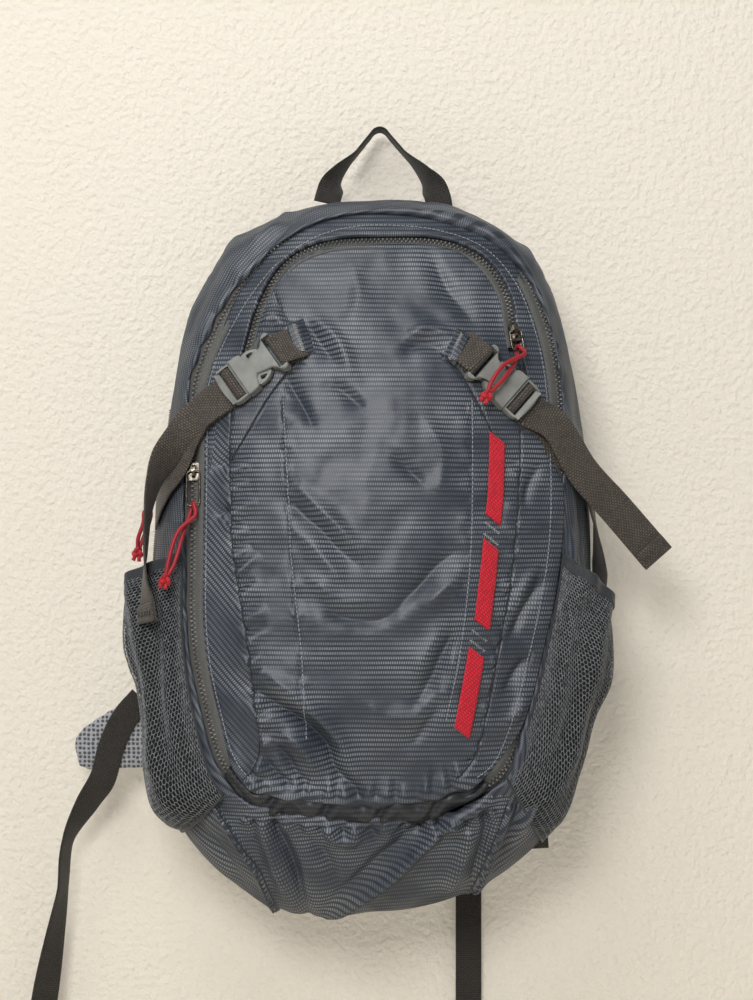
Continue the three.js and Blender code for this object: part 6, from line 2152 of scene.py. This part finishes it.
def puffed(name: str, source: str, finish: Finish, pressure: float = 3.0, cap: float = 3.0,
           voxel: float = 4.0, inset: float = 0.6) -> Object:
    """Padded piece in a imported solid's space, swollen by simulation and smoothed.

    Args:
        name: the piece's name.
        source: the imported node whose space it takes.
        finish: its cloth.
        pressure: of the filling.
        cap: the farthest that a point may move, in millimetres.
        voxel: size of the remesh, in millimetres.
        inset: how much smaller it starts, in millimetres.
    Returns:
        The piece.
    """
    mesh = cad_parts[source].data.copy()
    mesh.materials.clear()
    mesh.name = name
    obj = link(name, mesh, finish.material())
    add_modifier(obj, "WELD", merge_threshold=0.05 * MM)
    add_modifier(obj, "REMESH", mode="VOXEL", voxel_size=voxel * MM, use_smooth_shade=True)
    add_modifier(obj, "SMOOTH", factor=0.5, iterations=4)
    apply_modifiers(obj)
    add_modifier(obj, "DISPLACE", strength=-inset * MM, mid_level=0.0, direction="NORMAL")
    apply_modifiers(obj)
    settle(obj, 0.05, 0.01, pressure, cap, bending=2.0)
    add_modifier(obj, "SUBSURF", levels=1, render_levels=1)
    apply_modifiers(obj)
    return obj


@dataclass
class Harness:
    """Back pads, shoulder straps, their lower webbing and the sternum strap."""

    sternum_x: float = 57.0
    sternum_z: float = -205.0

    def build(self) -> None:
        """Makes every piece of the harness."""
        for name, side in (("left", -1.0), ("right", 1.0)):
            pad = puffed(f"{name}_back_cushion", f"{name}_back_pad", PAD_MESH)
            dress(pad, "pack", "spacer_mesh", f"{name}_back_pad")
            strap = puffed(f"{name}_shoulder_pad", f"{name}_shoulder_strap", PAD_MESH,
                           pressure=2.0, cap=1.2, voxel=3.0, inset=0.2)
            dress(strap, f"{name}_strap", "pad_cloth", f"{name}_shoulder_strap")
            self.lower(name, side)
        hardware(["left_ladder_lock", "right_ladder_lock", "sternum_slider_left",
                  "sternum_slider_right", *(f"sternum_buckle_{p}" for p in BUCKLE_PARTS)],
                 BUCKLE_GREY, 0.3)
        self.sternum()

    def lower(self, name: str, side: float) -> None:
        """Webbing from a shoulder strap's ladder lock down to the bag's corner."""
        place = Frame((95.4 * side, -0.4, -394.6), (0.12 * side, 0, -1), (0, 1, 0))
        w = (-1, 0, 0)
        route = ladder_route(place, Ladder(13.2, 2.15, 27.0), BELT_THICK,
                             [((118 * side, -21, -548), w), ((116 * side, -18, -520), w),
                              ((108 * side, -10, -470), w)],
                             [((101 * side, -0.8, -440), w), ((103 * side, 1.5, -480), w)])
        strap = webbing(f"{name}_lower_strap", route, BELT_WIDE, BELT_THICK)
        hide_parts(f"{name}_lower_webbing")
        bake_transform(strap)

    def sternum(self) -> None:
        """Webbing on both sides of the sternum buckle."""
        level = 9.6
        z = self.sternum_z
        place = Frame((-18.8, level, z), (1, 0, 0), (0, 1, 0))
        sewn = self.sternum_x - 6.2 - GAP
        left = bar_route(place, SMALL, [(-sewn, level + 1.2, z)], [(-sewn, level - 1.2, z)],
                         BELT_THICK)
        dress(webbing("sternum_strap_left", left, BELT_WIDE, BELT_THICK), "sternum_left",
              "webbing", "sternum_webbing_left")
        w = (0, 0, -1)
        right = ladder_route(
            place, Ladder.of_buckle(SMALL), BELT_THICK,
            [((sewn, level - 3.2, z), w), ((34, level - 3.8, z), w)],
            [((34, level, z - 0.5), w), ((46, level + 3.6, z - 2), w),
             ((60, level + 4.2, z - 4), w), ((80, level + 3, z - 8), w)])
        dress(webbing("sternum_strap_right", right, BELT_WIDE, BELT_THICK), "sternum_right",
              "webbing", "sternum_webbing_right")


@dataclass
class HipBelt:
    """Two wings, their webbing and the halves of the belt's buckle."""

    def build(self) -> None:
        """Makes every piece of the belt."""
        for name in ("left", "right"):
            wing = puffed(f"{name}_wing_pad", f"{name}_hip_wing", WING_MESH, pressure=2.5,
                          cap=1.5, voxel=3.0, inset=0.3)
            if name == "left":
                reshape(wing, self.flare)
            dress(wing, f"hip_{name}", "spacer_mesh", f"{name}_hip_wing")
        self.left()
        self.right()
        hardware(["hip_buckle_plug", "hip_buckle_arm_left", "hip_buckle_arm_right",
                  "hip_buckle_socket"], BUCKLE_GREY, 0.3)

    @staticmethod
    def flare(points: Array, _: Array) -> Array:
        """Makes the left wing taller towards the bag, and droops its end a little."""
        low, high = points[:, 2].min(), points[:, 2].max()
        near = bump(-points[:, 0], 262, 196)
        share = (points[:, 2] - low) / (high - low)
        points[:, 2] += 16 * near * share + 5 * near * (1 - share) - 5 * (1 - near) * share
        return points

    def left(self) -> None:
        """Webbing that wraps over the left wing and twists down to the buckle's plug."""
        place = Frame((-266, -6, -752), (0.06, 0, 1), (0, -1, 0))
        route = ladder_route(place, Ladder.of_buckle(SMALL), BELT_THICK, [
            ((-180, -21.9, -434), (0.5, 0, -0.86)), ((-193, -21.8, -449), (0.75, 0, -0.66)),
            ((-203, -21.6, -470), (0.97, 0, -0.2)), ((-210, -20.6, -495), (0.97, 0, -0.2)),
            ((-222, -16, -514), (0.8, 0.5, -0.3)), ((-238, -12, -545), (0.3, 0.95, 0)),
            ((-242, -10, -580), (0.25, 0.97, 0)), ((-249, -7, -620), (0.65, 0.75, 0)),
            ((-256, -4, -660), (0.95, 0.3, 0)), ((-261, -3, -692), (1, 0, 0)),
        ], [((-262.5, -8, -694), (1, 0, 0)), ((-262, -11, -672), (1, 0, 0.1))])
        dress(webbing("left_belt_webbing", route, BELT_WIDE, BELT_THICK, BELT_WEB),
              "hip_left", "webbing", "left_hip_webbing")

    def right(self) -> None:
        """Webbing that hangs down behind the bag to the buckle's socket."""
        x, y = 69.0, 14.4
        place = Frame((x, y, -712), (0, 0, -1), (0, 1, 0))
        upper = [(x, y - 0.2, -446), (x, y - 0.2, -490), (x, y + 0.6, -560), (x, y, -640),
                 (x, y + 1.6, -690)]
        route = bar_route(place, SMALL, upper, [(x, y - 1.6, -690)], BELT_THICK)
        dress(webbing("right_belt_webbing", route, BELT_WIDE, BELT_THICK, BELT_WEB),
              "hip_right", "webbing", "right_hip_webbing")


@dataclass
class Reservoir:
    """Water bag, its sleeve, port, cap and outlet, all inside the closed pack."""

    def build(self) -> None:
        """Makes the film bag and the sleeve, and dresses the moulded pieces."""
        bag = puffed("reservoir_film", "reservoir", FILM, pressure=2.0, cap=2.0, voxel=5.0,
                     inset=0.8)
        dress(bag, "pack", "film", "reservoir")
        sleeve = puffed("sleeve_cloth", "reservoir_sleeve", LINING_CLOTH, pressure=0.0,
                        cap=1.0, voxel=3.0, inset=0.0)
        dress(sleeve, "pack", "pack_cloth", "reservoir_sleeve")
        hardware(["fill_port", "reservoir_cap", "link_button"], CAP_BLUE, 0.5)
        hardware(["outlet_port"], BUCKLE_GREY, 0.4)


# ---------------------------------------------------------------- stage

WALL_Y, FLOOR_Z = 0.0215, -0.86  # metres


def stage_material(name: str, colour: str, see_through_back: bool = False,
                   relief: float = 0.0) -> Material:
    """Matt paint for the floor or wall, seen partly as its own colour whatever the light."""
    made = bpy.data.materials.new(name)
    add = partial(add_node, fresh_tree(made))
    where = add("TexCoord")
    noise = add("TexNoise", {"Vector": where.outputs["Object"], "Scale": 190.0,
                                        "Detail": 2.0})
    normal = add("Bump", {"Height": noise, "Strength": relief,
                                     "Distance": 0.0028})
    paint = add("BsdfDiffuse", {"Color": to_linear(colour), "Normal": normal})
    plain = add("Emission", {"Color": to_linear(colour), "Strength": 1.0})
    path = add("LightPath")
    share = add("Math", {0: path.outputs["Is Camera Ray"], 1: 0.15},
                     operation="MULTIPLY")
    shader = add("MixShader", {0: share, 1: paint, 2: plain})
    if see_through_back:
        side = add("NewGeometry")
        clear = add("BsdfTransparent")
        passed = add("Math", {0: side.outputs["Backfacing"],
                                         1: path.outputs["Is Shadow Ray"]},
                          operation="MAXIMUM")
        shader = add("MixShader", {0: passed, 1: shader, 2: clear})
    add("OutputMaterial", {"Surface": shader})
    return made


def make_plane(name: str, corners: Sequence, material: Material) -> None:
    """A flat piece of the stage."""
    mesh = bpy.data.meshes.new(name)
    mesh.from_pydata([list(c) for c in corners], [], [[0, 1, 2, 3]])
    mesh.materials.append(material)
    placed(name, mesh)


@dataclass
class Studio:
    """Camera, lamps, wall and floor."""

    focal: float = 64.6
    camera_place: tuple[float, float, float] = (-0.0025, -1.38, -0.284)
    wall_half: float = 1.1
    wall_top: float = 0.7
    floor_half: float = 3.0

    def camera(self) -> None:
        """Level camera in front of the pack, framed as in the photograph."""
        data = bpy.data.cameras.new("camera")
        data.sensor_width = 36.0
        data.lens = self.focal
        data.clip_end = 20.0
        cam = placed("camera", data)
        cam.location = self.camera_place
        cam.rotation_euler = (math.radians(90), 0, 0)
        bpy.context.scene.camera = cam

    def lamp(self, name: str, place: tuple, target: tuple, size: float, power: float) -> None:
        """A square soft lamp aimed at a point."""
        data = bpy.data.lights.new(name, "AREA")
        data.size = size
        data.energy = power
        lamp = placed(name, data)
        lamp.location = place
        way = Vector(target) - Vector(place)
        lamp.rotation_euler = way.to_track_quat("-Z", "Y").to_euler()

    def build(self) -> None:
        """Lights, floor and backdrop."""
        self.lamp("front", (-0.35, -1.68, 0.42), (0, 0, -0.33), 0.6, 18)
        self.lamp("top", (-0.5, -1.1, 1.35), (0, 0, -0.35), 0.8, 11.5)
        self.lamp("side", (1.7, -1.1, 0.0), (0, 0, -0.35), 1.2, 1.4)
        self.lamp("back", (0.6, 1.8, 0.9), (0, 0, -0.3), 1.4, 18)
        world = bpy.data.worlds.new("pale_room")
        bpy.context.scene.world = world
        add = partial(add_node, fresh_tree(world))
        path = add("LightPath")
        seen = add("Background", {"Color": to_linear("#e9e2d3"), "Strength": 1.0})
        light = add("Background", {"Color": to_linear("#e6e8ec"), "Strength": 0.16})
        shown = add("MixShader", {0: path.outputs["Is Camera Ray"], 1: light,
                                             2: seen})
        add("OutputWorld", {"Surface": shown})
        square = ((-1, -1), (1, -1), (1, 1), (-1, 1))
        make_plane("wall", [(x * self.wall_half, WALL_Y, self.wall_top if up > 0 else FLOOR_Z)
                            for x, up in square],
                   stage_material("wall_paint", "#f8f0e1", True, 1.0))
        make_plane("floor", [(x * self.floor_half, y * self.floor_half, FLOOR_Z)
                             for x, y in square], stage_material("floor_paint", "#e6e0d4"))
        bpy.context.scene.view_settings.view_transform = "Standard"


# ---------------------------------------------------------------- everything


def main() -> None:
    """Builds the camera and cords first, then each sub-assembly in turn."""
    logging.basicConfig(level=logging.INFO, format="%(message)s", stream=sys.stdout)
    studio = Studio()
    studio.camera()
    for pull in (main_pull(), front_pull(), rear_pull()):
        cord, length = pull.build()
        log.info("%s: %.1f mm", cord.name, length / MM)
    hardware(["main_slider", "main_pull", "front_slider", "front_pull", "rear_slider"],
             METAL, 0.25)
    skin = BagCloth().build()
    for part in (*COMPRESSION, LashStrip()):
        part.build(skin)
        log.info("%s built", type(part).__name__)
    for part in (main_zip(), front_zip(), rear_zip(skin), *pockets(), HaulLoop(), Harness(),
                 HipBelt(), Reservoir()):
        part.build()
        log.info("%s built", type(part).__name__)
    studio.build()


if __name__ == "__main__":
    main()
